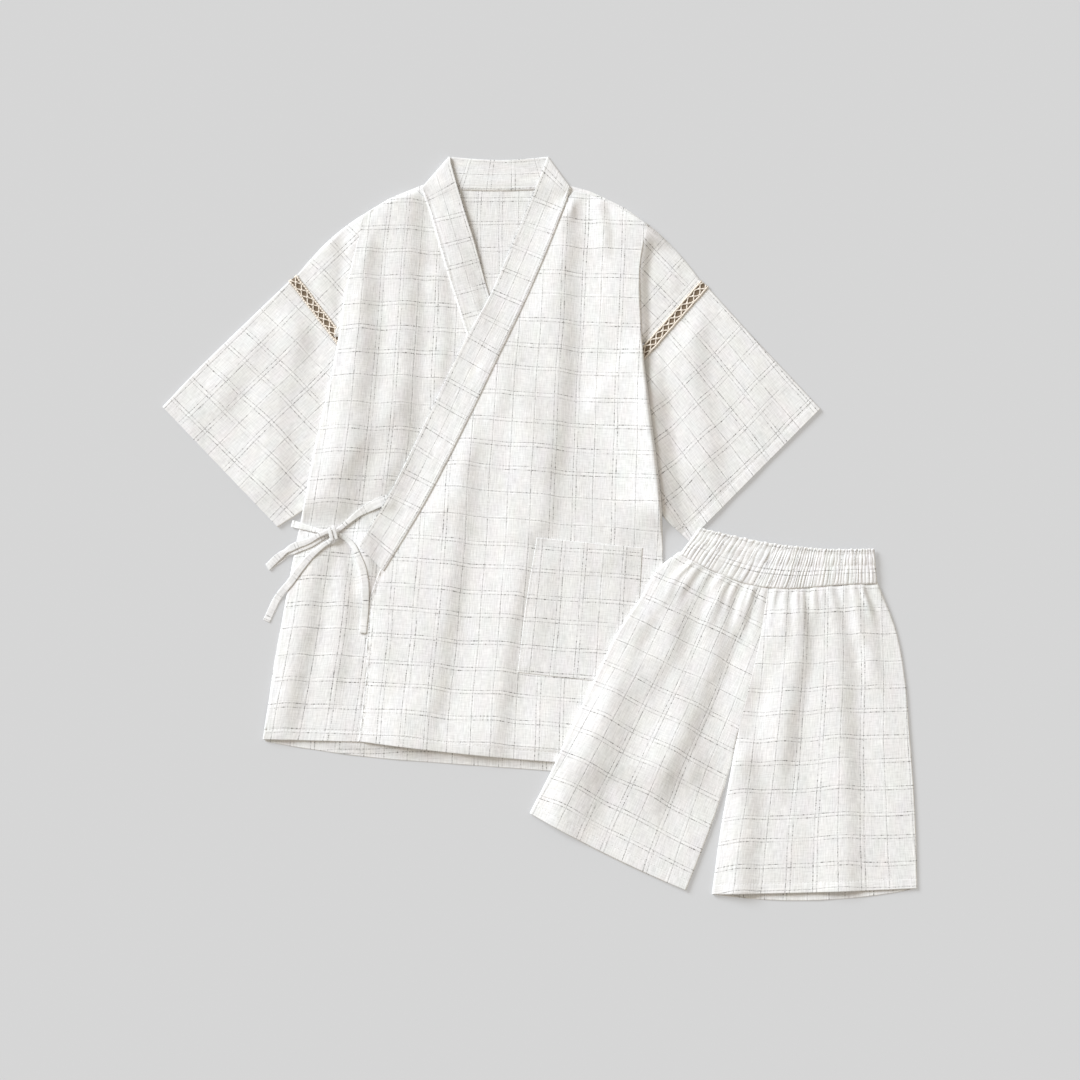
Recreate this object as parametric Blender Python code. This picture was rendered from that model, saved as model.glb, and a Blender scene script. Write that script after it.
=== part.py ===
"""A jinbei set laid flat on a surface: a wrap jacket with the shorts that go with it lying over its hem.

Lengths are in millimetres until a mesh is made. Places are read on a cutting board, x to the right and y
towards the wearer's feet; BOARD_MIDDLE is the place on the board that becomes the origin.
"""

import math
from collections import namedtuple

import bpy
import numpy as np

BOARD_MIDDLE = (540.06, 528.04)
MM = 0.001
CLOTH = 1.0  # wall of one layer of cloth
BAND = 1.2  # wall of the collar strip, which is cloth folded double
GAP = 0.3  # space left between pieces that lie on each other
SEAM = 0.4  # space left between pieces that meet edge to edge
TIE_WIDE = 7.2
LACE_WIDE = 9.6
RASTER = 1.5  # spacing of the heights that are kept of what already lies on the board
RASTER_CELLS = 720  # cells along each side of the board
STEPS = 2  # rows of a panel's grid from each of its sections to the next
FINE_STEPS = 3  # the same for the narrow and the short pieces
SAMPLES = 6  # steps along a triangle's edge at which its clearance is looked at
CLEARED = 0.004  # lack of clearance at which a sheet counts as laid
PASSES = 300  # most rounds of lifting a sheet off what is below it

# Columns of each piece's grid.
BACK_ACROSS = 10
UNDER_ACROSS = 11
OVER_ACROSS = 12
WEDGE_ACROSS = 3
SLEEVE_ACROSS = 9
LEG_ACROSS = 10
POCKET_ACROSS = 6
COLLAR_ACROSS = 2
WAIST_ACROSS = 4

Section = namedtuple("Section", "from_x from_y to_x to_y rise")
Fold = namedtuple("Fold", "x0 y0 x1 y1 wide high")
Strip = namedtuple("Strip", "inner_x inner_y outer_x outer_y")
Way = namedtuple("Way", "x y")

# Jacket panels, a row per section from the shoulder to the hem. The back runs from the viewer's left side
# fold to the right one; each front runs from its side fold to the edge that the collar covers.
BACK = [
    Section(365, 214, 647, 224, 36),
    Section(354, 258, 640, 262, 20),
    Section(345, 293, 639.5, 300, 10),
    Section(340.5, 327, 641.5, 338, 0),
    Section(321, 422, 651, 420, 0),
    Section(302, 516, 662, 514, 0),
    Section(287, 597, 663, 592, -1),
    Section(273, 672, 676, 680, -4),
    Section(265, 741, 695, 772, -9),
]
FRONT_UNDER = [
    Section(365, 214, 417, 191, 3),
    Section(355, 254, 438, 212, 3),
    Section(345, 293, 464, 266, 0),
    Section(340.5, 327, 480, 314, 0),
    Section(327, 396, 507, 387, 0),
    Section(316, 443, 533, 438, 0),
    Section(302, 516, 575, 512, 0),
    Section(291, 572, 601, 562, 0),
    Section(279, 641, 603, 632, 0),
    Section(263, 739, 612, 748, 0),
]
FRONT_OVER = [
    Section(647, 224, 575, 191, 4),
    Section(640, 260, 556, 212, 3),
    Section(639.5, 300, 534, 258, 0),
    Section(641.5, 338, 515, 303, 0),
    Section(651, 420, 476, 386, 0),
    Section(657, 466, 446, 444, 0),
    Section(662, 520, 408, 516, 0),
    Section(663, 570, 372, 562, 0),
    Section(668, 635, 370, 620, 0),
    Section(676, 690, 367, 672, -2),
    Section(692, 768, 359, 741, -5),
]
SHOULDER_SHAPE = ((0, 0), (0.08, 0.42), (0.13, 0.60), (0.20, 0.84), (0.27, 0.97), (0.35, 1.0))

ARMHOLE_SECTION = 3  # the section at which the armhole seam slips under the side fold
SHOULDER_BOW = {"left": 6.0, "right": 4.0}  # how far the shoulder bows out beside the armhole

# Sleeves, lace and legs are sheets folded once: a row per section, from the fold to the seam across.
SLEEVE_LEFT = [
    Section(289, 282, 389, 413, 0),
    Section(241, 328, 343, 462, 0),
    Section(193, 375, 306, 508, 0),
    Section(163, 407, 278, 527, 0),
]
SLEEVE_RIGHT = [
    Section(708, 288, 600, 410, 0),
    Section(745, 329, 628, 452, 0),
    Section(791, 378, 661, 514, 0),
    Section(820, 409, 689, 541, 0),
]
LEG_LEFT = [
    Section(680, 556, 767.6, 590, -3),
    Section(645, 594, 759.2, 640, -3),
    Section(617, 634, 747.8, 689, -1),
    Section(601, 666, 736.8, 735, 0),
    Section(575, 720, 729, 771, 0),
    Section(552, 770, 710, 829, 0),
    Section(530, 813, 686, 890, -3),
]
LEG_RIGHT = [
    Section(877, 585, 768.4, 590, 0),
    Section(896, 632, 760, 640, 0),
    Section(905, 680, 748.6, 689, 0),
    Section(909, 728, 737.6, 735, 0),
    Section(912.5, 772, 731, 771, 0),
    Section(915, 815, 722, 822, 0),
    Section(917, 888, 712, 894, -1),
]
BACK_HEM_DROP = {"left": 1.0, "right": 8.0}  # how far a leg's back shows below its front
WAISTBAND = [
    Strip(699, 528, 680, 554),
    Strip(733, 536, 711, 570),
    Strip(777, 544.5, 757, 586),
    Strip(800, 547, 787, 588.5),
    Strip(821, 549, 813, 587),
    Strip(848, 549.5, 845, 584.5),
    Strip(874, 549, 877, 583.5),
]
POCKET = [
    Section(537, 538, 642, 548, 0),
    Section(526, 606, 638, 617, 0),
    Section(518, 672, 632, 685, 0),
]
# The collar strip from its hidden lower end to the neck, round the back of the neck, and down on top.
COLLAR_UNDER = [
    Strip(616, 548, 590, 571),
    Strip(577, 484, 547, 500),
    Strip(535, 402, 504, 416),
    Strip(505, 340, 472, 349),
    Strip(489, 295, 457, 304),
    Strip(474, 242, 441, 251),
    Strip(460, 196, 428, 207),
    Strip(449, 157, 421, 189),
]
COLLAR_BACK = [
    Strip(449, 157, 421, 189),
    Strip(470, 159, 460, 190),
    Strip(500, 160.5, 497, 191),
    Strip(528, 159, 533, 190),
    Strip(548, 157, 571, 189),
]
COLLAR_OVER = [
    Strip(548, 157, 571, 189),
    Strip(535, 190, 565, 205),
    Strip(512, 245, 544, 258),
    Strip(490.5, 295, 522, 308),
    Strip(466, 339, 498, 358),
    Strip(438, 396, 471, 414),
    Strip(419, 435.5, 450, 456),
    Strip(393, 488, 425, 503),
    Strip(359, 545, 384, 571),
]

# Ties. The one from the side seam passes through the knot. The one from the collar passes through it, turns
# back at the tip of the bow's loop, and turns again in the knot to leave it as a tail.
SIDE_TIE = [
    Way(294, 524),
    Way(305, 528),
    Way(320, 530),
    Way(333, 533),
    Way(347, 541),
    Way(356, 551),
    Way(361, 563),
    Way(365, 581),
    Way(366, 604),
    Way(364, 633),
]
LOOP_OUT = [
    Way(383.1, 502.3),
    Way(366, 512),
    Way(350, 523),
    Way(334, 532),
    Way(310, 541),
    Way(289, 552),
    Way(268, 567.5),
]
LOOP_BACK = LOOP_OUT[:2:-1]
OVER_TAIL = [Way(334, 532), Way(321, 545), Way(306, 558), Way(289, 581), Way(276, 602), Way(265, 621)]
ALONG_COLLAR = (-34, 57)  # the direction of the collar's edge, where the tie is sewn in
TURN_IN_KNOT = (0.55, 0.83)
KNOT_WAY = [Way(331, 524), Way(332, 529), Way(333, 533), Way(334.5, 538), Way(336, 543)]

# The largest folds: where each ridge runs, how wide it is and how high it stands.
UNDER_FOLDS = [
    Fold(396, 225, 384, 500, 34, 2.6),
    Fold(352, 300, 322, 480, 26, 1.8),
    Fold(440, 320, 430, 470, 40, 2.0),
    Fold(300, 590, 288, 738, 26, 2.2),
    Fold(348, 570, 336, 738, 30, 2.8),
]
OVER_FOLDS = [
    Fold(588, 230, 590, 470, 36, 2.6),
    Fold(624, 290, 640, 520, 30, 1.8),
    Fold(532, 320, 534, 500, 34, 2.4),
    Fold(482, 470, 482, 735, 36, 2.4),
    Fold(412, 590, 410, 738, 44, 2.6),
    Fold(545, 700, 545, 755, 36, 1.6),
]
SLEEVE_LEFT_FOLDS = [Fold(300, 330, 215, 420, 50, 2.0), Fold(330, 370, 255, 480, 36, 1.6)]
SLEEVE_RIGHT_FOLDS = [Fold(690, 330, 775, 425, 50, 2.0), Fold(670, 400, 735, 480, 36, 1.6)]
LEG_LEFT_FOLDS = [
    Fold(690, 573, 640, 700, 22, 3.4),
    Fold(724, 584, 695, 700, 24, 3.4),
    Fold(756, 594, 735, 690, 20, 2.6),
    Fold(600, 720, 570, 800, 60, 3.0),
    Fold(690, 750, 650, 850, 60, 2.4),
]
LEG_RIGHT_FOLDS = [
    Fold(791, 596, 782, 700, 20, 3.2),
    Fold(816, 593, 815, 690, 18, 3.0),
    Fold(836, 592, 840, 720, 14, 3.0),
    Fold(864, 592, 884, 690, 20, 3.0),
    Fold(800, 760, 795, 880, 70, 3.0),
    Fold(880, 740, 888, 870, 50, 2.6),
]
PLEAT_HIGH = 1.1  # height of a pleat of the waistband, between its two rows of stitching
PLEATS = 7  # folds of the waistband from each of its sections to the next
LOOSE = 12  # rounds of easing of the shorts, which bridge what they lie over

OFF_WHITE = (0.80, 0.79, 0.765, 1.0)
LACE_BUFF = (0.47, 0.40, 0.29, 1.0)


# ---------------------------------------------------------------- curves and grids


def smooth_rows(rows, steps):
    """The rows of a table joined by smooth curves, with so many steps from each row to the next."""
    rows = np.array(rows, float)
    at = np.concatenate([[0], np.cumsum(np.linalg.norm(np.diff(rows, axis=0), axis=1))])
    slope = np.gradient(rows, at, axis=0)
    k = np.arange(len(rows) - 1).repeat(steps)
    t = np.tile(np.arange(steps) / steps, len(rows) - 1)[:, None]
    h = (at[k + 1] - at[k])[:, None]
    curve = (
        (2 * t**3 - 3 * t**2 + 1) * rows[k]
        + (t**3 - 2 * t**2 + t) * h * slope[k]
        + (3 * t**2 - 2 * t**3) * rows[k + 1]
        + (t**3 - t**2) * h * slope[k + 1]
    )
    return np.concatenate([curve, rows[-1:]])


def arch(u):
    return 4 * u * (1 - u)


def shoulders(u):
    across, share = zip(*SHOULDER_SHAPE)
    return np.interp(np.minimum(u, 1 - u), across, share)


def panel_plan(sections, steps, across, shape=arch):
    """Plan of a panel: each section is a line from one edge to the other, bowed up by its rise."""
    rows = smooth_rows(sections, steps)
    u = np.linspace(0, 1, across + 1)[None, :, None]
    plan = rows[:, None, 0:2] * (1 - u) + rows[:, None, 2:4] * u
    plan[:, :, 1] -= rows[:, 4:5] * shape(u[:, :, 0])
    return plan


def armhole_line(sleeve, offset):
    """Ends of the line beside a sleeve's armhole edge, moved from it towards the body by the offset."""
    fold, seam = np.array(sleeve[0][0:2]), np.array(sleeve[0][2:4])
    run = (seam - fold) / np.linalg.norm(seam - fold)
    side = np.array([run[1], -run[0]])
    side *= np.sign(side @ (fold - np.array(sleeve[-1][0:2])))
    return fold + side * offset, seam + side * offset


def wedge_plan(edge, sleeve, bulge, across):
    """Plan of the cloth between a side fold and the armhole, down to the end of the fold's points."""
    v = np.linspace(0, 1, len(edge))[:, None]
    top, end = armhole_line(sleeve, LACE_WIDE + 2 * SEAM)
    low = top + (end - top) * (edge[-1, 1] - top[1]) / (end[1] - top[1])
    seam = top * (1 - v) + low * v
    u = np.concatenate([[0], np.linspace(0.06, 1, across)])[None, :, None]
    plan = edge[:, None] * (1 - u) + seam[:, None] * u
    plan[:, :, 1] -= bulge * arch(u[:, :, 0]) * (1 - v) ** 2
    return plan


def strip_plan(rows, steps, across):
    """Plan of a strip: its rows are lines across it."""
    rows = smooth_rows(rows, steps)
    u = np.linspace(0, 1, across + 1)[None, :, None]
    return rows[:, None, 0:2] * (1 - u) + rows[:, None, 2:4] * u


def tie_plan(ways, steps, first=None, last=None):
    """Plan of a tie's run; first and last are the directions of the creases at its two ends."""
    way = smooth_rows(ways, steps)
    run = np.gradient(way, axis=0)
    run /= np.linalg.norm(run, axis=1)[:, None]
    side = np.stack([-run[:, 1], run[:, 0]], axis=1)
    for index, crease in ((0, first), (-1, last)):
        if crease is not None:
            crease = np.array(crease) / np.linalg.norm(crease)
            side[index] = crease / (crease @ side[index])
    u = np.linspace(-0.5, 0.5, 3)[None, :, None] * TIE_WIDE
    return way[:, None] + side[:, None] * u


def grid_triangles(down, across):
    i, j = np.meshgrid(np.arange(down), np.arange(across), indexing="ij")
    a = (i * (across + 1) + j).ravel()
    b, c, d = a + 1, a + across + 2, a + across + 1
    return np.concatenate([np.stack([a, b, c], 1), np.stack([a, c, d], 1)])


# ---------------------------------------------------------------- laying one piece on another


class Board:
    """How high the cloth already stands at each place of the board."""

    def __init__(self, top=None):
        self.top = np.full((RASTER_CELLS, RASTER_CELLS), -GAP) if top is None else top

    def copy(self):
        return Board(self.top.copy())

    def join(self, other):
        self.top = np.maximum(self.top, other.top)

    def reached(self, reach):
        """The heights with each one spread over its neighbours, so that edges are cleared too."""
        high = self.top
        for _ in range(reach):
            for axis in (0, 1):
                high = np.maximum(high, np.maximum(np.roll(high, 1, axis), np.roll(high, -1, axis)))
        return high

    def add(self, grid, wall):
        """Raises the board to the upper face of a sheet that has just been laid."""
        down, across = grid.shape[0] - 1, grid.shape[1] - 1
        points = grid.reshape(-1, 3)
        for tri in points[grid_triangles(down, across)]:
            normal = np.cross(tri[1] - tri[0], tri[2] - tri[0])
            if abs(normal[2]) < 1e-9:
                continue
            low = np.ceil(tri[:, :2].min(0) / RASTER).astype(int)
            high = np.floor(tri[:, :2].max(0) / RASTER).astype(int)
            cells = [np.arange(a, b + 1) for a, b in zip(low, high)]
            i, j = np.meshgrid(*cells, indexing="ij")
            x, y = i * RASTER - tri[0, 0], j * RASTER - tri[0, 1]
            e1, e2 = tri[1] - tri[0], tri[2] - tri[0]
            b = (x * e2[1] - y * e2[0]) / normal[2]
            c = (y * e1[0] - x * e1[1]) / normal[2]
            inside = (b >= -1e-6) & (c >= -1e-6) & (b + c <= 1 + 1e-6)
            steep = min(np.linalg.norm(normal) / abs(normal[2]), 2.0)
            z = tri[0, 2] + b * e1[2] + c * e2[2] + wall / 2 * steep
            i, j, z = i[inside], j[inside], z[inside]
            self.top[i, j] = np.maximum(self.top[i, j], z)


def fold_heights(plan, folds):
    """Height of the ridges at the places of a plan: soft across, dying away at both ends."""
    height = np.zeros(plan.shape[:-1])
    for fold in folds:
        start = np.array([fold.x0, fold.y0])
        run = np.array([fold.x1, fold.y1]) - start
        long = np.linalg.norm(run)
        run = run / long
        along = (plan - start) @ run / long
        across = (plan - start) @ np.array([-run[1], run[0]]) / (fold.wide / 2)
        ends = np.clip(np.minimum(along, 1 - along) * 5 + 0.5, 0, 1)
        height += fold.high * np.where(abs(across) < 1, 0.5 + 0.5 * np.cos(math.pi * across), 0) * ends
    return height


def eased(z, passes):
    """Cloth doesn't drop sharply from a step: low points are drawn up towards their neighbours."""
    for _ in range(passes):
        near = np.pad(z, 1, mode="edge")
        z = np.maximum(z, (near[:-2, 1:-1] + near[2:, 1:-1] + near[1:-1, :-2] + near[1:-1, 2:]) / 4)
    return z


def lay(board, plan, wall=CLOTH, reach=2, ease=4, folds=()):
    """Lays a sheet on the board and returns its points. Every triangle clears what is below it."""
    down, across = plan.shape[0] - 1, plan.shape[1] - 1
    corners = grid_triangles(down, across)
    steps = range(SAMPLES + 1)
    shares = [(a, b, SAMPLES - a - b) for a in steps for b in steps if a + b <= SAMPLES]
    shares = np.array(shares) / SAMPLES
    places = np.einsum("tcx,sc->tsx", plan.reshape(-1, 2)[corners], shares)
    high = board.reached(reach)
    at = np.round(places / RASTER).astype(int)
    need = high[at[..., 0], at[..., 1]] + GAP + wall / 2
    at = np.round(plan.reshape(-1, 2) / RASTER).astype(int)
    z = high[at[:, 0], at[:, 1]] + GAP + wall / 2
    for _ in range(PASSES):
        lack = need - z[corners] @ shares.T
        worst = lack.argmax(1)
        lack = lack[np.arange(len(corners)), worst]
        if lack.max() < CLEARED:
            break
        share = shares[worst]
        push = np.where(lack > 0, lack, 0)[:, None] * share / (share**2).sum(1)[:, None]
        rise = np.zeros_like(z)
        np.maximum.at(rise, corners, push)
        z = z + rise
    z = eased(z.reshape(down + 1, across + 1), ease) + fold_heights(plan, folds)
    grid = np.concatenate([plan, z[:, :, None]], axis=2)
    board.add(grid, wall)
    return grid


def turn(low, high, outward, steps=3):
    """Joins a lower layer's edge to the edge of the layer above by a half round that stays inside both."""
    radius = (high[:, 2:3] - low[:, 2:3]) / 2
    middle = (low + high) / 2
    middle[:, :2] -= radius * outward
    low[:, :2] -= radius * outward
    high[:, :2] -= radius * outward
    angles = np.linspace(-math.pi / 2, math.pi / 2, steps + 2)[1:-1]
    arcs = []
    for angle in angles:
        arc = middle.copy()
        arc[:, :2] += radius * outward * math.cos(angle)
        arc[:, 2:3] += radius * math.sin(angle)
        arcs.append(arc)
    return np.array(arcs)


def edge_outward(edge, inside):
    """Unit directions in plan, square to an edge and away from the points that lie inside it."""
    run = np.gradient(edge[:, :2], axis=0)
    out = np.stack([-run[:, 1], run[:, 0]], 1)
    out /= np.linalg.norm(out, axis=1)[:, None]
    away = np.einsum("ij,ij->i", out, edge[:, :2] - inside[:, :2])
    return out * np.sign(away)[:, None]


# ---------------------------------------------------------------- pieces


def material(name, colour, roughness):
    made = bpy.data.materials.new(name)
    made.use_nodes = True
    shader = made.node_tree.nodes["Principled BSDF"]
    shader.inputs["Base Color"].default_value = colour
    shader.inputs["Roughness"].default_value = roughness
    shader.inputs["Metallic"].default_value = 0.0
    return made


def make_piece(name, grids, wall=CLOTH, colour=OFF_WHITE):
    """A closed wall on the middle surface that the grids give; grids that share points are one sheet."""
    points, faces = np.zeros((0, 3)), []
    for grid in grids:
        faces.append(grid_triangles(grid.shape[0] - 1, grid.shape[1] - 1) + len(points))
        points = np.concatenate([points, grid.reshape(-1, 3)])
    points, where = np.unique(np.round(points, 4), axis=0, return_inverse=True)
    faces = where.reshape(-1)[np.concatenate(faces)]
    points = np.stack([points[:, 0] - BOARD_MIDDLE[0], BOARD_MIDDLE[1] - points[:, 1], points[:, 2]], 1)

    a, b, c = (points[faces[:, k]] for k in range(3))
    flat = np.cross(b - a, c - a)
    normals = np.zeros_like(points)
    for k in range(3):
        np.add.at(normals, faces[:, k], flat)
    normals /= np.linalg.norm(normals, axis=1)[:, None]

    count = len(points)
    sides = np.concatenate([faces[:, [0, 1]], faces[:, [1, 2]], faces[:, [2, 0]]])
    twins = set(map(tuple, sides))
    rim = [(p, q) for p, q in sides if (q, p) not in twins]
    shell = [tuple(f) for f in faces] + [tuple(f[::-1] + count) for f in faces]
    for p, q in rim:
        shell += [(q, p, p + count), (q, p + count, q + count)]
    verts = np.concatenate([points + normals * wall / 2, points - normals * wall / 2]) * MM
    mesh = bpy.data.meshes.new(name)
    mesh.from_pydata(verts.tolist(), [], [tuple(int(i) for i in f) for f in shell])
    mesh.materials.append(material(name + "_cloth", colour, 0.9))
    made = bpy.data.objects.new(name, mesh)
    bpy.context.scene.collection.objects.link(made)


def folded_piece(
    name, board, sections, steps, across, hem_drop=0, top=None, folds=(), colour=OFF_WHITE, **laid
):
    """A sheet folded once: its back from the seam to the fold, round the fold, its front to the seam."""
    lower = [s._replace(rise=s.rise - hem_drop * (s is sections[-1])) for s in sections]
    plans = [panel_plan(lower, steps, across // 2 + 1), panel_plan(sections, steps, across)]
    if top:
        for plan in plans:
            plan[0, :, 1] = top(plan[0, :, 0])
    back = lay(board, plans[0], **laid)
    front = lay(board, plans[1], folds=folds, **laid)
    edge = turn(back[:, 0], front[:, 0], edge_outward(front[:, 0], front[:, 1])).transpose(1, 0, 2)
    sheet = np.concatenate([back[:, ::-1], edge, front], axis=1)
    make_piece(name, [sheet if is_outward(sheet) else sheet[:, ::-1]], colour=colour)


def is_outward(sheet):
    """Whether the last quad of a grid, which lies on top, faces up once the board's y is turned over."""
    a, b, c = sheet[0, -2], sheet[0, -1], sheet[1, -1]
    return (b[0] - a[0]) * (c[1] - a[1]) - (b[1] - a[1]) * (c[0] - a[0]) < 0


def waist_seam(x):
    """Where the top edges of the legs lie below the waistband."""
    edge = strip_plan(WAISTBAND, PLEATS, 1)[:, 1]
    return np.interp(x, edge[:, 0], edge[:, 1]) + SEAM


def waistband(name, board):
    """A ring of cloth round both legs, pleated in front between its rows of stitching."""
    back = lay(board, strip_plan(WAISTBAND, STEPS, WAIST_ACROSS).transpose(1, 0, 2), ease=LOOSE)
    front = lay(board, strip_plan(WAISTBAND, PLEATS, WAIST_ACROSS).transpose(1, 0, 2), ease=2)
    front[1::2, :, 2] += (np.arange(front.shape[1]) % 2) * PLEAT_HIGH
    half = back.shape[1] // 2
    ends = []
    for column, beside in ((0, 1), (-1, -2)):
        outward = edge_outward(front[:, column], front[:, beside])
        ends.append(turn(back[:, column], front[:, column], outward).transpose(1, 0, 2))
    rest = back[:, : half - 1 : -1].copy()
    rest[:, -1, 0] += SEAM
    ring = [back[:, half::-1], ends[0], front, ends[1][:, ::-1], rest]
    make_piece(name, [np.concatenate(ring, axis=1)])


def body_panel(board, plan, holes, **laid):
    """The sheets of a body panel: its main part, and the cloth that runs on from it to the armholes."""
    below = board.copy()
    main = lay(board, plan, **laid)
    grids = [main]
    rows = ARMHOLE_SECTION * STEPS + 1
    for column, sleeve, bow in holes:
        wedge = lay(below, wedge_plan(plan[:rows, column], sleeve, bow, WEDGE_ACROSS), reach=0, ease=0)
        wedge[:, 0] = main[:rows, column]
        grids.append(wedge if column == -1 else wedge[:, ::-1])
    board.join(below)
    return grids


def turned(sheet, run):
    """Adds a run to a sheet that turns back on itself, by way of a half round."""
    return sheet + [turn(sheet[-1][-1], run[0], edge_outward(sheet[-1][-1], sheet[-1][-2])), run]


def build():
    sides = {
        "left": (0, SLEEVE_LEFT, SHOULDER_BOW["left"]),
        "right": (-1, SLEEVE_RIGHT, SHOULDER_BOW["right"]),
    }
    board, shoulders_bare = Board(), Board()
    back = body_panel(board, panel_plan(BACK, STEPS, BACK_ACROSS, shoulders), sides.values(), ease=0)
    make_piece("jacket_back", back)
    shoulders_bare.add(back[0], CLOTH)

    for side, (_, sleeve, _) in sides.items():
        folds = SLEEVE_LEFT_FOLDS if side == "left" else SLEEVE_RIGHT_FOLDS
        offsets = (SEAM + LACE_WIDE, SEAM + LACE_WIDE / 2, SEAM)
        lace = [Section(*np.concatenate(armhole_line(sleeve, offset)), 0) for offset in offsets]
        for name, sections, steps, extra in (
            ("sleeve_", sleeve, FINE_STEPS, {"folds": folds}),
            ("lace_", lace, 1, {"colour": LACE_BUFF}),
        ):
            own = shoulders_bare.copy()
            folded_piece(name + side, own, sections, steps, SLEEVE_ACROSS, **extra)
            board.join(own)

    neck = lay(board, strip_plan(COLLAR_BACK, FINE_STEPS, COLLAR_ACROSS), BAND, reach=1, ease=1)
    plan = panel_plan(FRONT_UNDER, STEPS, UNDER_ACROSS)
    make_piece("jacket_front_under", body_panel(board, plan, [sides["left"]], folds=UNDER_FOLDS))
    under_band = lay(board, strip_plan(COLLAR_UNDER, FINE_STEPS, COLLAR_ACROSS), BAND, reach=1, ease=3)
    plan = panel_plan(FRONT_OVER, STEPS, OVER_ACROSS)[:, ::-1]
    make_piece("jacket_front_over", body_panel(board, plan, [sides["right"]], folds=OVER_FOLDS))
    make_piece("pocket", [lay(board, panel_plan(POCKET, FINE_STEPS, POCKET_ACROSS), reach=0, ease=0)])
    over_band = lay(board, strip_plan(COLLAR_OVER, FINE_STEPS, COLLAR_ACROSS), BAND, reach=1, ease=2)
    make_piece("collar", [np.concatenate(turned(turned([under_band], neck), over_band))], BAND)

    make_piece("tie_side", [lay(board, tie_plan(SIDE_TIE, FINE_STEPS), reach=1, ease=1)])
    loop = [lay(board, tie_plan(LOOP_OUT, FINE_STEPS, first=ALONG_COLLAR), reach=0, ease=1)]
    back_in = tie_plan(LOOP_BACK, FINE_STEPS, last=TURN_IN_KNOT)
    loop = turned(loop, lay(board, back_in, reach=1, ease=1))
    tail = tie_plan(OVER_TAIL, FINE_STEPS, first=TURN_IN_KNOT)
    loop = turned(loop, lay(board, tail, reach=1, ease=2))
    make_piece("tie_over", [np.concatenate(loop)])
    make_piece("tie_knot", [lay(board, tie_plan(KNOT_WAY, STEPS), reach=1, ease=0)])

    ground = board.copy()
    for side, sections, folds in (
        ("left", LEG_LEFT, LEG_LEFT_FOLDS),
        ("right", LEG_RIGHT, LEG_RIGHT_FOLDS),
    ):
        folded_piece(
            "shorts_leg_" + side, ground.copy(), sections, STEPS, LEG_ACROSS,
            hem_drop=BACK_HEM_DROP[side], top=waist_seam, folds=folds, ease=LOOSE,
        )
    waistband("shorts_waistband", ground)


for thing in list(bpy.data.objects):
    bpy.data.objects.remove(thing)
build()
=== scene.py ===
import math
from collections import namedtuple

import bpy
import mathutils
import numpy as np
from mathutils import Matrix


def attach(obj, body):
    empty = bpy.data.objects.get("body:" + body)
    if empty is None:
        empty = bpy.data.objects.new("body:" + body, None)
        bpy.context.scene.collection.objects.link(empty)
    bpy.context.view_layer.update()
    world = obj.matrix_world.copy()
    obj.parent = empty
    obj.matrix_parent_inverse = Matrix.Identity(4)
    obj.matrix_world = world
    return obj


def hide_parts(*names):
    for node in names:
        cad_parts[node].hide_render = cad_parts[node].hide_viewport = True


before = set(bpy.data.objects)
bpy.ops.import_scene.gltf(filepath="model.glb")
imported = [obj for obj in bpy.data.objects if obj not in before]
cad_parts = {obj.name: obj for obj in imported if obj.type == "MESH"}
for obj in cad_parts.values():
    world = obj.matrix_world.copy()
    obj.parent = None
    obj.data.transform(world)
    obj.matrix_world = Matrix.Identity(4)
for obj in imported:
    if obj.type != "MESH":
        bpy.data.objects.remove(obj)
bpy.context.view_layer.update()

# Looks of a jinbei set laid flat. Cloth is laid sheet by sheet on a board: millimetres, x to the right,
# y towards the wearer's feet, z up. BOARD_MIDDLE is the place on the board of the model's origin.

BOARD_MIDDLE = (540.06, 528.04)
PICTURE_MIDDLE = (540.0, 540.0)  # place on the board under the middle of the picture
PICTURE_SIDE = 1080.0
MM = 0.001
CLOTH = 0.7  # thickness of one layer of cloth
BAND = 0.8  # thickness of the collar strip, which is cloth folded double
GAP = 0.35  # space left between sheets that lie on each other
CELL = 2.6  # size of a cell of a sheet's grid
BOARD_CELLS = 1080
REFINE = 4  # points taken along a cell's side when a sheet is printed on the board
LACE_WIDE = 9.6
LACE_REPEAT = 18.6  # length of the lace's pattern
SEAM = 0.4  # space between two sheets that are sewn together edge to edge
DEPTH = 1.08  # every crease's height is multiplied by this
COLLAR_TIGHT = 1.35
STRIP_WIDE = 32.0  # of the collar
HEM_WIDE = 10.0
MAIN_BODY = "root"

Section = namedtuple("Section", "from_x from_y to_x to_y rise")
Strip = namedtuple("Strip", "inner_x inner_y outer_x outer_y")
Crease = namedtuple("Crease", "path wide rise high step start end", defaults=(0.0, 40.0, 60.0))
Grain = namedtuple("Grain", "at_x at_y turn lean_first lean_last slope_first slope_last span")

# ---------------------------------------------------------------- outlines, a row per section
# A section of a panel runs from one side, or from the side fold, to the other side, and bows up by its rise.

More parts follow.
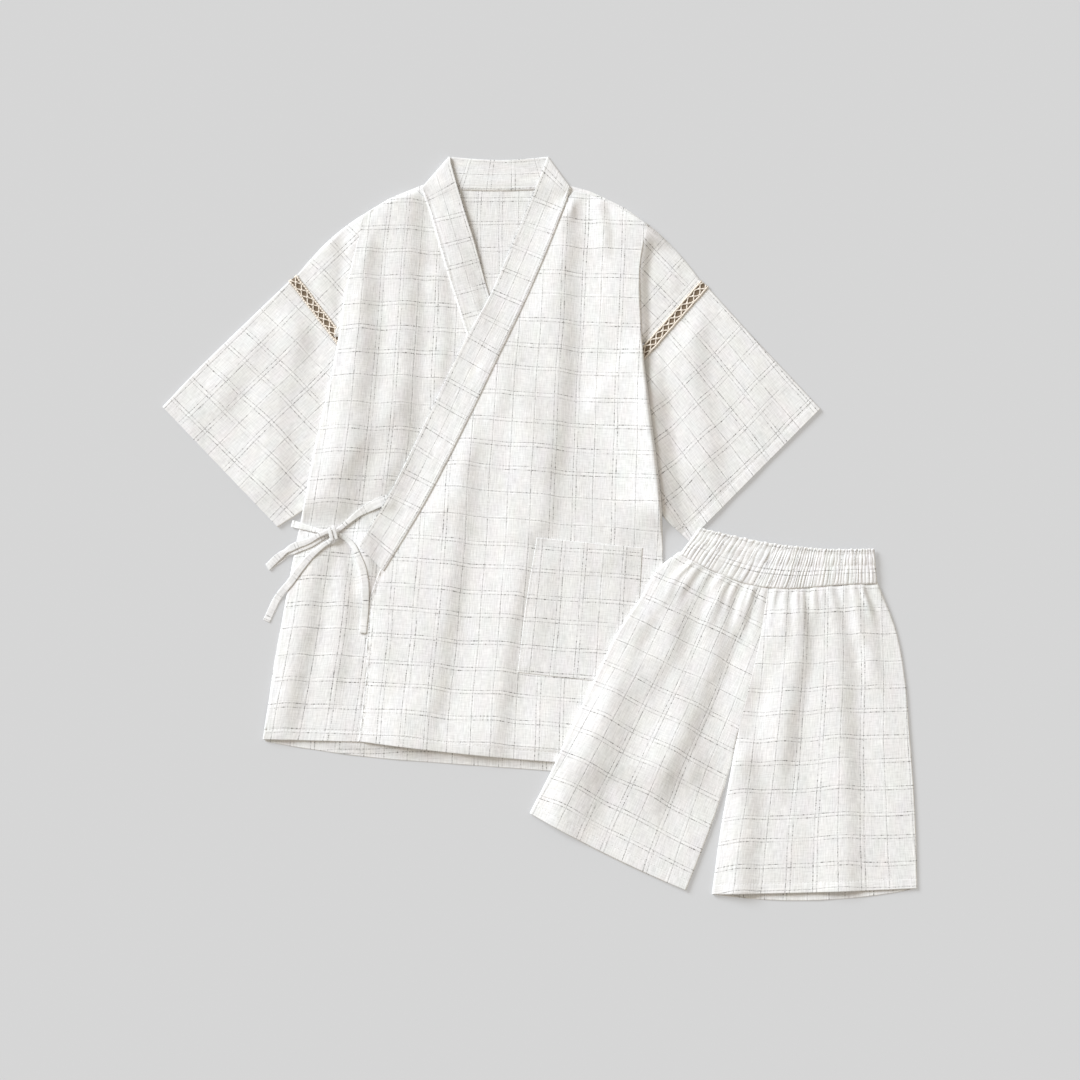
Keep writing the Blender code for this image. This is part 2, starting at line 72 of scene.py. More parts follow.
BACK = [
    Section(365, 214, 647, 224, 36),
    Section(354, 258, 640, 262, 20),
    Section(345, 293, 639.5, 300, 10),
    Section(340.5, 327, 641.5, 338, 0),
    Section(321, 422, 651, 420, 0),
    Section(302, 516, 662, 514, 0),
    Section(287, 597, 663, 592, -1),
    Section(273, 672, 676, 680, -4),
    Section(265, 741, 695, 772, -9),
]
FRONT_UNDER = [
    Section(365, 214, 417, 191, 3),
    Section(355, 254, 438, 212, 3),
    Section(345, 293, 464, 266, 0),
    Section(340.5, 327, 480, 314, 0),
    Section(327, 396, 507, 387, 0),
    Section(316, 443, 533, 438, 0),
    Section(302, 516, 575, 512, 0),
    Section(291, 572, 601, 562, 0),
    Section(279, 641, 603, 632, 0),
    Section(263, 739, 612, 748, 0),
]
FRONT_OVER = [
    Section(647, 224, 575, 191, 4),
    Section(640, 260, 556, 212, 3),
    Section(639.5, 300, 534, 258, 0),
    Section(641.5, 338, 515, 303, 0),
    Section(651, 420, 476, 386, 0),
    Section(657, 466, 446, 444, 0),
    Section(662, 520, 408, 516, 0),
    Section(663, 570, 384, 562, 0),
    Section(668, 625, 368.5, 608, 0),
    Section(676, 690, 367, 672, -2),
    Section(692, 768, 359, 741, -5),
]
# The back's shoulders: share of the way across, and share of the rise there.
SHOULDER_SHAPE = ((0, 0), (0.08, 0.42), (0.13, 0.60), (0.20, 0.84), (0.27, 0.97), (0.35, 1.0))
SHOULDER_BOW = {"left": 6.0, "right": 4.0}  # of the line from the shoulder to the lace
SLEEVES = {
    "left": [
        Section(289, 282, 389, 413, 0),
        Section(241, 328, 343, 462, 0),
        Section(193, 375, 306, 508, 0),
        Section(163, 407, 278, 527, 0),
    ],
    "right": [
        Section(708, 288, 600, 410, 0),
        Section(745, 329, 628, 452, 0),
        Section(791, 378, 661, 514, 0),
        Section(820, 409, 689, 541, 0),
    ],
}
LEGS = {
    "left": [
        Section(679, 555, 768.2, 590, -3),
        Section(660, 568.5, 766, 606, -3),
        Section(644, 593, 759.8, 640, -3),
        Section(617, 634, 748.4, 689, -1),
        Section(601, 666, 737.3, 735, 0),
        Section(575, 720, 729, 771, 0),
        Section(552, 770, 710, 829, 0),
        Section(530, 813, 686, 890, -3),
    ],
    "right": [
        Section(877, 585, 768.4, 590, 0),
        Section(896, 632, 760, 640, 0),
        Section(905, 680, 748.6, 689, 0),
        Section(909, 728, 737.6, 735, 0),
        Section(912.5, 772, 731, 771, 0),
        Section(915, 815, 722, 822, 0),
        Section(917, 888, 712, 894, -1),
    ],
}
BACK_HEM_DROP = {"left": 1.0, "right": 8.0}  # how far a leg's back shows below its front
WAISTBAND = [
    Strip(699, 528, 680, 554),
    Strip(733, 536, 711, 570),
    Strip(777, 544.5, 757, 586),
    Strip(800, 547, 787, 588.5),
    Strip(821, 549, 813, 587),
    Strip(848, 549.5, 845, 584.5),
    Strip(874, 549, 877, 583.5),
]
POCKET = [
    Section(537, 538, 642, 548, 0),
    Section(526, 606, 638, 617, 0),
    Section(518, 672, 632, 685, 0),
]
COLLAR_UNDER = [
    Strip(616, 548, 590, 571),
    Strip(577, 484, 547, 500),
    Strip(535, 402, 504, 416),
    Strip(505, 340, 472, 349),
    Strip(489, 295, 457, 304),
    Strip(474, 242, 441, 251),
    Strip(460, 196, 428, 207),
    Strip(449, 157, 421, 189),
]
COLLAR_BACK = [
    Strip(449, 157, 421, 189),
    Strip(470, 159, 460, 190),
    Strip(500, 160.5, 497, 191),
    Strip(528, 159, 533, 190),
    Strip(548, 157, 571, 189),
]
COLLAR_OVER = [
    Strip(548, 157, 571, 189),
    Strip(535, 190, 565, 205),
    Strip(512, 245, 544, 258),
    Strip(490.5, 295, 522, 308),
    Strip(466, 339, 498, 358),
    Strip(438, 396, 471, 414),
    Strip(419, 435.5, 450, 456),
    Strip(393, 488, 425, 503),
    Strip(359, 545, 384, 571),
]

# Ties: the one from the side tab passes through the knot. The one from the collar passes through it, folds
# back at the tip of the bow's loop, turns round in the knot and leaves it as a tail.
SIDE_TIE = [
    (292, 523.5), (301, 526), (314, 529.5), (325, 532), (335, 533.5), (345, 538), (352.5, 545), (357.5, 555),
    (362, 566), (365, 581), (365.5, 600), (363, 633),
]
LOOP_OUT = [
    (389, 499.5), (382, 501.5), (374, 505), (361, 512), (348, 522), (338, 530), (327, 535), (311, 544.5),
    (297, 549.5), (287, 554), (278, 560.5), (268, 567),
]
LOOP_BACK = [(268, 567), (276.5, 558.5), (285.5, 551.5), (295, 546), (309, 541), (322, 534)]
OVER_TAIL = [
    (322, 534), (330, 531.5), (334, 534.5), (331.5, 539.5), (323.5, 545.5), (312, 555), (303.5, 564.5),
    (290.5, 582), (279, 596), (266.5, 621),
]
KNOT_MIDDLE = (333.0, 533.5)
KNOT_WAY = [(-1.8, -6.6), (-1.0, -3.8), (0, 0), (1.0, 3.8), (1.8, 6.8)]  # of each turn of cloth over it
KNOT_SPACING = (-2.0, 1.0)  # of the two turns from the knot's middle
KNOT_WIDE = 3.9  # one turn
TWIST = (287.0, 553.0)  # where the bow's loop is twisted
TIE_WIDE = 7.4
TIE_THICK = 0.9
TIE_WALL = 0.45  # its cloth, which is folded into a flat tube
TIE_ROOM = 0.1  # between a tie and what it lies on

# ---------------------------------------------------------------- curves, plans and distances


def lengths_along(points):
    """How far each point is along the line through them."""
    return np.concatenate([[0], np.cumsum(np.linalg.norm(np.diff(points, axis=0), axis=1))])


def unit(vectors, least=0.0):
    """Vectors of length 1, or less where they were shorter than the least length."""
    return vectors / np.maximum(np.linalg.norm(vectors, axis=-1, keepdims=True), least)


def curve_at(rows, t):
    """The rows of a table joined by smooth curves, at places t counted in rows."""
    rows = np.array(rows, float)
    at = lengths_along(rows)
    slope = np.gradient(rows, at, axis=0)
    k = np.clip(np.floor(t).astype(int), 0, len(rows) - 2)
    f = (t - k)[:, None]
    h = (at[k + 1] - at[k])[:, None]
    return (
        (2 * f**3 - 3 * f**2 + 1) * rows[k]
        + (f**3 - 2 * f**2 + f) * h * slope[k]
        + (3 * f**2 - 2 * f**3) * rows[k + 1]
        + (f**3 - f**2) * h * slope[k + 1]
    )


def ticks(length, cell, first=(), last=()):
    """Places from 0 to length a cell apart, with others at set distances from the first and last end."""
    extra = np.array(sorted({0.0, float(length), *first, *(length - x for x in last)}))
    low, high = max(first, default=0), length - max(last, default=0)
    count = max(1, round((high - low) / cell))
    return np.unique(np.round(np.concatenate([extra, np.linspace(low, high, count + 1)]), 4))


def row_places(rows, cell, first=(), last=()):
    """Places down a table, in rows, that are a cell apart down its middle."""
    dense = np.linspace(0, len(rows) - 1, 400)
    points = curve_at(rows, dense)
    along = lengths_along((points[:, 0:2] + points[:, 2:4]) / 2)
    return np.interp(ticks(along[-1], cell, first, last), along, dense)


def arch(u):
    return 4 * u * (1 - u)


def shoulders(u):
    across, share = zip(*SHOULDER_SHAPE)
    return np.interp(np.minimum(u, 1 - u), across, share)


def panel_plan(sections, t, u, shape=arch, drop=0.0):
    """Plan of a panel: each section is a line from one edge to the other, bowed up by its rise."""
    rows = curve_at([s._replace(rise=s.rise - drop * (s is sections[-1])) for s in sections], t)
    plan = between(rows, u)
    plan[:, :, 1] -= rows[:, 4:5] * shape(u[None])
    return plan


def between(rows, u):
    """Points at the shares u of the way from the first place of each row to its second one."""
    u = u[None, :, None]
    return rows[:, None, 0:2] * (1 - u) + rows[:, None, 2:4] * u


def strip_plan(rows, t, u):
    return between(curve_at(rows, t), u)


def armhole_line(sleeve, offset):
    """Ends of the line beside a sleeve's armhole edge, moved from it towards the body by the offset."""
    fold, seam = np.array(sleeve[0][0:2]), np.array(sleeve[0][2:4])
    run = unit(seam - fold)
    side = np.array([run[1], -run[0]])
    side *= np.sign(side @ (fold - np.array(sleeve[-1][0:2])))
    return fold + side * offset, seam + side * offset


def distances(plan, axis, from_end):
    """How far each point of a grid is along its row or column from the first or last one."""
    step = np.linalg.norm(np.diff(plan[..., :2], axis=axis), axis=2)
    step = np.concatenate([np.zeros_like(np.take(step, [0], axis=axis)), step], axis=axis)
    run = np.cumsum(step, axis=axis)
    return np.take(run, [-1], axis=axis) - run if from_end else run


def smooth_step(x):
    x = np.clip(x, 0, 1)
    return x * x * (3 - 2 * x)


# ---------------------------------------------------------------- creases

FAR = 400  # a crease with a step reaches over the whole panel


def crease_height(plan, creases):
    """Height of soft folds at the places of a plan.

    A crease's path is the middle of its steep side, which falls away to the right of its crest. Its other
    side rises gently to it from the height step. It grows over the length start, and fades over end."""
    height = np.zeros(plan.shape[:2])
    for number, crease in enumerate(creases):
        ways = np.array(crease.path, float)
        line = curve_at(ways, np.linspace(0, len(ways) - 1, 6 * len(ways)))
        tangent = unit(np.gradient(line, axis=0))
        reach = FAR if crease.step else crease.rise + crease.wide
        near = ((plan > line.min(0) - reach) & (plan < line.max(0) + reach)).all(2)
        if not near.any():
            continue
        points = plan[near]
        gap = points[:, None] - line[None]
        nearest = (gap**2).sum(2).argmin(1)
        gap = gap[np.arange(len(points)), nearest]
        run = tangent[nearest]
        beside = (gap * np.stack([run[:, 1], -run[:, 0]], 1)).sum(1)
        beyond = (gap * run).sum(1)
        steps = lengths_along(line)
        along = steps[nearest] + beyond
        start, end = min(crease.start, 0.4 * steps[-1]), min(crease.end, 0.45 * steps[-1])
        swell = smooth_step(along / start) * smooth_step((steps[-1] - along) / end)
        # No crease is even: its height and its line waver along it, each crease in its own way.
        swell *= 0.9 + 0.1 * np.sin(along / 31 + 2.1 * number) * np.sin(along / 17 + number)
        beside += 0.06 * crease.wide * np.sin(along / 23 + 1.7 * number) * np.sin(along / 9.5 + number)
        wide = crease.wide * (0.7 + 0.3 * swell)
        past_crest = beside + wide / 2
        fall = crease.high * (0.5 + 0.5 * np.cos(math.pi * np.clip(past_crest / wide, 0, 1)))
        rise = 0.5 + 0.5 * np.cos(math.pi * np.clip(past_crest / crease.rise, -1, 0))
        profile = np.where(past_crest > 0, fall, crease.step + (crease.high - crease.step) * rise)
        height[near] += DEPTH * profile * swell
    return height


def unevenness(plan, seed, high, long=70.0):
    """Low random waves, longer down the board than across it."""
    draw = np.random.default_rng(seed)
    height = np.zeros(plan.shape[:2])
    for _ in range(9):
        down = draw.uniform(0.2, 1.0) * 2 * math.pi / (long * 2.2)
        across = draw.uniform(0.5, 1.6) * 2 * math.pi / (long * 0.75)
        across *= draw.choice([-1, 1])
        height += np.sin(down * plan[..., 1] + across * plan[..., 0] + draw.uniform(0, 6.3))
    return height * high / 4.2


# ---------------------------------------------------------------- the board

UP = (0.0, 0.0, 1.0)
TINY = 1e-7  # a vector shorter than this has no direction
LEAST_GAP = GAP * 0.7  # left between sheets where one is lifted clear of another
NO_LACK = 0.01  # so small a lack of room is let be


def to_world(grid):
    return np.stack([grid[..., 0] - BOARD_MIDDLE[0], BOARD_MIDDLE[1] - grid[..., 1], grid[..., 2]], -1)


def normals_of(grid):
    """Unit normals of a grid: up where its rows run down the board and its columns run to the right."""
    world = to_world(grid)
    normal = np.cross(np.gradient(world, axis=0), np.gradient(world, axis=1))
    size = np.linalg.norm(normal, axis=2, keepdims=True)
    return np.where(size > TINY, normal / np.maximum(size, TINY), UP)


def upward(grid):
    """The unit normals of a grid's upper side, in the world's axes."""
    normal = normals_of(grid)
    return normal * np.sign(normal[..., 2:3] + 1e-9)


def refined(grid, times):
    """A grid of values with so many times the steps, by straight lines between its points."""
    for axis in (0, 1):
        n = grid.shape[axis]
        at = np.linspace(0, n - 1, (n - 1) * times + 1)
        k = np.minimum(at.astype(int), n - 2)
        f = (at - k).reshape([-1 if a == axis else 1 for a in range(grid.ndim)])
        grid = np.take(grid, k, axis) * (1 - f) + np.take(grid, k + 1, axis) * f
    return grid


def mean_of_near(z):
    near = np.pad(z, 1, mode="edge")
    return (near[:-2, 1:-1] + near[2:, 1:-1] + near[1:-1, :-2] + near[1:-1, 2:]) / 4


class Board:
    """How high the cloth already stands at each place of the board."""

    def __init__(self, top=None):  # a gap under the floor's level, so that the first sheet lies on the floor
        self.top = np.full((BOARD_CELLS, BOARD_CELLS), -GAP) if top is None else top

    def copy(self):
        return Board(self.top.copy())

    def join(self, other):
        self.top = np.maximum(self.top, other.top)

    def spread(self, reach):
        high = self.top
        for _ in range(reach):
            for axis in (0, 1):
                high = np.maximum(high, np.maximum(np.roll(high, 1, axis), np.roll(high, -1, axis)))
        return high

    @staticmethod
    def at(high, points):
        cells = np.clip(np.round(points[..., :2]).astype(int), 0, BOARD_CELLS - 1)
        return high[cells[..., 0], cells[..., 1]]

    def add(self, grid, wall):
        fine = refined(grid + upward(grid) * wall / 2 * (1, -1, 1), REFINE).reshape(-1, 3)
        cells = np.clip(np.round(fine[:, :2]).astype(int), 0, BOARD_CELLS - 1)
        np.maximum.at(self.top, (cells[:, 0], cells[:, 1]), fine[:, 2])


def cleared(board, grid, wall):
    """Lifts the points of a sheet until it keeps most of a gap above what lies below, between them too."""
    high = board.spread(1)
    for _ in range(3):
        fine = refined(grid, REFINE)
        lack = board.at(high, fine) + LEAST_GAP + wall / 2 - fine[..., 2]
        if lack.max() < NO_LACK:
            break
        lack = np.pad(np.maximum(lack, 0), REFINE, mode="edge")
        n, m = grid.shape[:2]
        lift = np.zeros((n, m))
        for i in range(0, 2 * REFINE + 1, 2):
            for j in range(0, 2 * REFINE + 1, 2):
                lift = np.maximum(lift, lack[i :: REFINE, j :: REFINE][:n, :m])
        grid[..., 2] += lift
    return grid


def lay(board, plan, wall=CLOTH, reach=2, bridge=30, soften=4, relief=0.0, clear=True):
    """Lays a sheet on the board: it bridges hollows, keeps clear of what is below and adds its relief."""
    need = board.at(board.spread(reach), plan) + GAP + wall / 2
    z = need.copy()
    for _ in range(bridge):
        z = np.maximum(need, mean_of_near(z))
    for _ in range(soften):
        z = mean_of_near(z)
    grid = np.concatenate([plan, (z + relief)[..., None]], axis=2)
    return cleared(board, grid, wall) if clear else grid


def round_edge(z, low, far, radius):
    """Heights that fall from z to low in a quarter round towards an edge, at distances far from it."""
    s = np.clip(far / np.maximum(radius, 0.3), 0, 1)
    return low + (z - low) * np.sqrt(np.clip(1 - (1 - s) ** 2, 0, 1))


# ---------------------------------------------------------------- meshes

RIM = 0.45  # how far a wall's rim bulges, as a share of its thickness


class Mesh:
    """Vertices, faces and cloth places of one piece, collected from several grids."""

    def __init__(self):
        self.points, self.faces, self.places, self.count = [], [], [], 0

    def add(self, points, faces, places):
        self.points.append(points)
        self.places.append(places)
        self.faces.append(faces + self.count)
        self.count += len(points)

    def shell(self, grid, places, wall=CLOTH):
        """A closed wall round a grid, with a rounded rim. Its places are on the flat cloth, in metres."""
        normal = normals_of(grid)
        world = to_world(grid)
        n, m = grid.shape[:2]
        number = np.arange(n * m).reshape(n, m)
        a, b, c, d = number[:-1, :-1], number[:-1, 1:], number[1:, 1:], number[1:, :-1]
        up = np.stack([a, d, c, b], -1).reshape(-1, 4)
        down = np.stack([a, b, c, d], -1).reshape(-1, 4) + n * m
        ring = np.concatenate([number[0, :-1], number[:-1, -1], number[-1, :0:-1], number[:0:-1, 0]])
        out = world.copy()
        out[0] += world[0] - world[1]
        out[-1] += world[-1] - world[-2]
        out[:, 0] += world[:, 0] - world[:, 1]
        out[:, -1] += world[:, -1] - world[:, -2]
        out = unit((out - world).reshape(-1, 3)[ring], TINY)
        rim = world.reshape(-1, 3)[ring] + out * wall * RIM
        p = np.arange(len(ring))
        q = np.roll(p, -1)
        middle = p + 2 * n * m
        rims = [
            np.stack([ring[p], ring[q], middle[q], middle[p]], 1),
            np.stack([middle[p], middle[q], ring[q] + n * m, ring[p] + n * m], 1),
        ]
        half = normal * wall / 2
        points = np.concatenate([(world + half).reshape(-1, 3), (world - half).reshape(-1, 3), rim])
        flat = places.reshape(-1, 2)
        self.add(points, np.concatenate([up, down, *rims]), np.concatenate([flat, flat, flat[ring]]))

    def tube(self, path, radius, sides=6):
        """A closed round thread along points in the world's axes, in millimetres."""
        run = unit(np.gradient(path, axis=0), TINY)
        side = unit(np.cross(run, UP), TINY)
        other = np.cross(side, run)
        radius = np.broadcast_to(radius, len(path))
        angle = np.arange(sides) * 2 * math.pi / sides
        ring = (
            path[:, None]
            + radius[:, None, None] * np.cos(angle)[None, :, None] * side[:, None]
            + radius[:, None, None] * np.sin(angle)[None, :, None] * other[:, None]
        ).reshape(-1, 3)
        k = np.arange(sides)
        faces = []
        for i in range(len(path) - 1):
            low, high = i * sides, (i + 1) * sides
            faces.append(np.stack([low + k, high + k, high + (k + 1) % sides, low + (k + 1) % sides], 1))
        total = len(ring)
        ends = np.array([path[0], path[-1]])
        last = total - sides
        for i in range(0, sides, 2):
            faces.append(np.array([[total, i, (i + 1) % sides, (i + 2) % sides]]))
            faces.append(np.array([[total + 1, last + (i + 2) % sides, last + (i + 1) % sides, last + i]]))
        points = np.concatenate([ring, ends])
        self.add(points, np.concatenate(faces), np.zeros((len(points), 2)))

    def make(self, name, material, standing_for=()):
        points = np.concatenate(self.points) * MM
        faces = np.concatenate(self.faces)
        places = np.concatenate(self.places)
        mesh = bpy.data.meshes.new(name)
        mesh.vertices.add(len(points))
        mesh.vertices.foreach_set("co", points.astype(np.float32).ravel())
        mesh.loops.add(faces.size)
        mesh.loops.foreach_set("vertex_index", faces.astype(np.int32).ravel())
        mesh.polygons.add(len(faces))
        mesh.polygons.foreach_set("loop_start", np.arange(0, faces.size, 4, dtype=np.int32))
        mesh.polygons.foreach_set("use_smooth", np.ones(len(faces), bool))
        mesh.update(calc_edges=True)
        layer = mesh.uv_layers.new(name="cloth")
        layer.data.foreach_set("uv", places[faces.ravel()].astype(np.float32).ravel())
        mesh.validate()
        mesh.materials.append(material)
        made = bpy.data.objects.new(name, mesh)
        bpy.context.scene.collection.objects.link(made)
        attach(made, MAIN_BODY)
        for node in standing_for:
            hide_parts(node)
        return made


def cloth_places(plan, grain, relief=0.0):
    """Places on the flat cloth, in metres, of a plan: its grain leans and slopes more on one side."""
    c, s = math.cos(math.radians(grain.turn)), math.sin(math.radians(grain.turn))
    dx, dy = plan[..., 0] - grain.at_x, plan[..., 1] - grain.at_y
    a, b = dx * c + dy * s, dy * c - dx * s
    share = np.clip(a / grain.span + 0.5, -0.2, 1.2)
    lean = grain.lean_first + (grain.lean_last - grain.lean_first) * share
    slope = grain.slope_first + (grain.slope_last - grain.slope_first) * share
    u = a - np.tan(np.radians(lean)) * b
    v = b - np.tan(np.radians(slope)) * a + 0.65 * relief  # seen from above, the weft bends over the folds
    u = u + 0.7 * np.sin(b / 41 + a / 90) + 0.35 * np.sin(b / 17 + 2)  # and no yarn lies quite straight
    v = v + 0.6 * np.sin(a / 37 + b / 110 + 1) + 0.3 * np.sin(a / 15)
    return np.stack([u, v], -1) * MM

# ---------------------------------------------------------------- tables of creases

UNDER_CREASES = [
    Crease(
        [(366, 205), (371, 240), (373, 280), (373, 330), (370, 380), (365, 430), (358, 475),
         (346, 512), (334, 536)],
        30, 50, 4.6, 1.4, 40, 30,
    ),
    Crease(
        [(421, 185), (419, 230), (417, 280), (415, 330), (413, 380), (409, 430), (402, 462),
         (392, 490), (380, 515)],
        24, 34, 3.7, 1.6, 14, 36,
    ),
    Crease([(443, 262), (448, 300), (449, 340), (445, 375), (442, 400)], 13, 18, 1.3, 0.0, 15, 30),
    Crease([(386, 206), (388, 222), (386, 240)], 12, 16, 0.9, 0.0, 8, 14),
    Crease(
        [(336, 528), (329, 560), (321, 592), (313, 630), (305, 670), (296, 712), (289, 752)],
        24, 40, 3.9, 0.8, 16, 16,
    ),
    Crease(
        [(345, 535), (349, 565), (351, 600), (346, 640), (342, 680), (337, 720)],
        16, 26, 2.4, 0.0, 14, 60,
    ),
    Crease([(366, 520), (372, 548), (374, 580), (372, 612)], 15, 16, 3.6, 0.0, 20, 24),
    Crease([(330, 340), (322, 380), (316, 420)], 14, 20, 0.6),
]
OVER_CREASES = [
    Crease([(571, 184), (573, 200), (576, 224)], 6, 8, 1.3, 0.0, 4, 14),
    Crease(
        [(574, 180), (571, 230), (571, 290), (570, 350), (566, 400), (560, 440), (555, 480),
         (551, 515), (547, 550)],
        27, 44, 3.8, 1.6, 24, 40,
    ),
    Crease(
        [(546, 515), (535, 555), (526, 590), (519, 620), (514, 650), (510, 680), (505, 715),
         (497, 770)],
        23, 50, 3.3, 0.8, 30, 16,
    ),
    Crease([(550, 545), (545, 580), (541, 620), (534, 660), (530, 690)], 36, 40, 1.3),
    Crease(
        [(481, 395), (476, 430), (471, 475), (467, 515), (462, 555), (455, 600), (450, 640),
         (443, 685), (434, 725), (427, 775)],
        25, 40, 3.2, 1.2, 60, 16,
    ),
    Crease([(602, 192), (606, 215), (609, 235), (612, 262)], 11, 18, 2.3, 0.0, 14, 24),
    Crease([(532, 300), (522, 335), (513, 370), (505, 400), (488, 436)], 22, 24, 1.3),
    Crease([(393, 600), (388, 650), (385, 690)], 16, 24, 0.9),
    Crease(
        [(652, 190), (650, 262), (649, 300), (652, 340), (660, 420), (668, 470), (671, 505),
         (673, 545)],
        10, 75, 5.6, 0.0, 34, 50,
    ),
    Crease([(634, 490), (631, 550), (628, 610)], 26, 30, 1.0),
    Crease([(420, 690), (412, 720), (408, 760)], 24, 24, 0.7),
    Crease([(562, 690), (560, 730), (556, 775)], 26, 26, 0.9),
]
WEDGE_CREASES = {
    "left": [Crease([(342, 215), (339, 255), (336, 285), (332, 330)], 18, 30, 2.0, 0.0, 30, 30)],
    "right": [Crease([(668, 225), (676, 262), (680, 300)], 14, 20, 0.6, 0.0, 20, 20)],
}
SLEEVE_CREASES = {
    "left": [
        Crease(
            [(314, 300), (306, 345), (298, 372), (292, 400), (288, 430), (286, 460), (289, 515)],
            27, 50, 3.3, 0.0, 40, 40,
        ),
        Crease([(272, 312), (260, 348), (248, 374), (236, 398), (218, 414), (188, 438)], 24, 36, 1.7),
        Crease([(318, 350), (312, 400), (304, 440), (298, 480)], 20, 20, 0.7),
        Crease([(262, 436), (252, 466), (250, 500)], 22, 24, 0.6),
    ],
    "right": [
        Crease(
            [(714, 278), (701, 318), (701, 345), (703, 375), (709, 405), (714, 435), (717, 465),
             (723, 505)],
            25, 40, 2.8, 0.0, 60, 40,
        ),
        Crease([(652, 330), (660, 400), (668, 450), (673, 500), (677, 550)], 24, 14, 4.6, 0.0, 26, 20),
        Crease([(758, 340), (766, 380), (790, 430)], 26, 30, 0.9),
    ],
}
LEG_CREASES = {
    "left": [
        Crease(
            [(696, 548), (678, 578), (663, 598), (651, 620), (640, 642), (626, 668)],
            20, 34, 1.7, 0.0, 20, 50,
        ),
        Crease(
            [(714, 556), (700, 596), (690, 620), (682, 642), (671, 662), (658, 682), (642, 706)],
            20, 26, 1.9, 0.0, 20, 50,
        ),
        Crease(
            [(656, 640), (633, 690), (620, 722), (608, 755), (596, 785), (582, 820), (566, 860)],
            42, 60, 4.3, 0.0, 80, 16,
        ),
        Crease(
            [(744, 556), (738, 590), (731, 620), (725, 650), (716, 676), (707, 702), (698, 722),
             (686, 745), (670, 785), (652, 836)],
            23, 36, 3.3, 1.0, 30, 70,
        ),
        Crease([(755, 570), (750, 600), (744, 626), (738, 650)], 11, 13, 2.1, 0.0, 12, 50),
        Crease([(730, 565), (724, 592), (716, 616), (708, 640)], 10, 12, 2.0, 0.0, 12, 46),
        Crease([(703, 556), (694, 576), (684, 592), (672, 612)], 9, 11, 1.7, 0.0, 12, 36),
        Crease([(763, 576), (758, 600), (752, 622)], 8, 9, 1.3, 0.0, 12, 24),
        Crease([(676, 762), (658, 800), (645, 845)], 40, 40, 1.0),
        Crease([(578, 762), (562, 800), (552, 830)], 24, 24, 0.6),
    ],
    "right": [
        Crease([(771, 572), (762, 602), (757, 625), (751, 648), (745, 674)], 14, 18, 2.0, 0.0, 18, 50),
        Crease(
            [(797, 570), (788, 605), (781, 630), (774, 655), (764, 680), (754, 705), (750, 730),
             (752, 765), (754, 800), (753, 840), (752, 905)],
            25, 26, 3.7, 0.0, 24, 14,
        ),
        Crease(
            [(808, 570), (808, 610), (807, 640), (804, 670), (799, 700), (794, 725), (788, 765),
             (784, 820)],
            21, 30, 3.7, 0.8, 50, 80,
        ),
        Crease(
            [(838, 570), (842, 615), (847, 655), (850, 700), (852, 750), (854, 800), (855, 850),
             (856, 910)],
            24, 36, 3.5, 1.2, 24, 14,
        ),
        Crease([(851, 572), (856, 600), (861, 625), (865, 650)], 10, 12, 1.6, 0.0, 12, 26),
        Crease([(862, 572), (869, 608), (874, 640), (880, 672), (885, 700)], 14, 16, 1.9, 0.0, 12, 40),
        Crease([(818, 572), (820, 592), (821, 612)], 9, 9, 1.2, 0.0, 12, 20),
        Crease([(782, 572), (778, 592), (773, 610)], 8, 8, 1.2, 0.0, 12, 20),
        Crease([(828, 572), (830, 588), (831, 604)], 7, 8, 0.9, 0.0, 12, 16),
        Crease([(800, 800), (798, 850), (797, 905)], 40, 40, 0.8),
    ],
}
COLLAR_CREASES = [
    Crease([(462, 110), (467, 160), (474, 200), (484, 245), (496, 305)], 20, 46, 3.7, 0.0, 90, 70),
]
POCKET_CREASES = [Crease([(556, 530), (550, 600), (540, 700)], 34, 34, 0.8)]

# Grain: middle on the board, turn of the warp, its lean and the weft's slope at the first and last side.
GRAINS = {
    "back": Grain(500, 450, 0, -2, 2, 0, 0, 300),
    "under": Grain(384, 480, 0, -9.0, -2.5, 0.5, 1.0, 150),
    "over": Grain(567, 600, 0, -4.8, -1.2, 4.6, 4.8, 240),
    "pocket": Grain(580, 600, 0, -5.5, -1.8, 4.4, 4.4, 110),
    "sleeve_left": Grain(240, 395, 45, 0, 0, 1, -1, 160),
    "sleeve_right": Grain(745, 395, -45, -8, -2, 1, -1, 160),
    "wedge_left": Grain(320, 270, 45, 0, 0, 2, 2, 80),
    "wedge_right": Grain(672, 272, -45, 0, 0, -2, -2, 80),
    "leg_left": Grain(650, 740, 27, -3, 8, -1, -1, 180),
    "leg_right": Grain(820, 740, 0, -8, 3, -2.4, -2.6, 180),
}

# ---------------------------------------------------------------- sheets

FOLD_TICKS = (0.4, 0.9, 1.6, 2.5, 3.7, 5.2)  # places of the finer cells beside a fold,
FREE_TICKS = (0.35, 0.9)  # beside a front's free edge,
TOP_TICKS = (0.5, 1.2)  # along a top
HEM_TICKS = (0.6, 2.0, 5.0, 8.0, 9.2, 10.0, 10.8, 12.2)  # and in a hem
ARMHOLE_ROWS = 3  # rows of a body panel's table from its shoulder down to the end of its armhole
FLUSH = 0.12  # share of the armhole's depth in which the wedge is level with the front
WEDGE_END = {"left": 1.05, "right": 1.02}  # how far down the armhole the wedge goes, where it has run out
WEDGE_WIDE = 60  # about how wide it is at the most
WEDGE_ROOM = 0.78  # height of the wedge's tuck under the front's side fold
SIDE_ROUND = {"left": 1.8, "right": 2.6}  # how round the fronts' side folds are
SHOULDER_LIFT = {"left": 0.0, "right": 4.2}  # height of the side folds beside the armholes
SIDE_ROLL = {"left": 0.0, "right": 1.9}  # how much rounder the side folds are over the sleeves,
SIDE_LIFT = {"left": 0.0, "right": 0.9}  # and how much higher
NECK_END, SLEEVES_END, FREE_FROM = 205, 540, 560  # places down the board: the collar's end at the neck, where
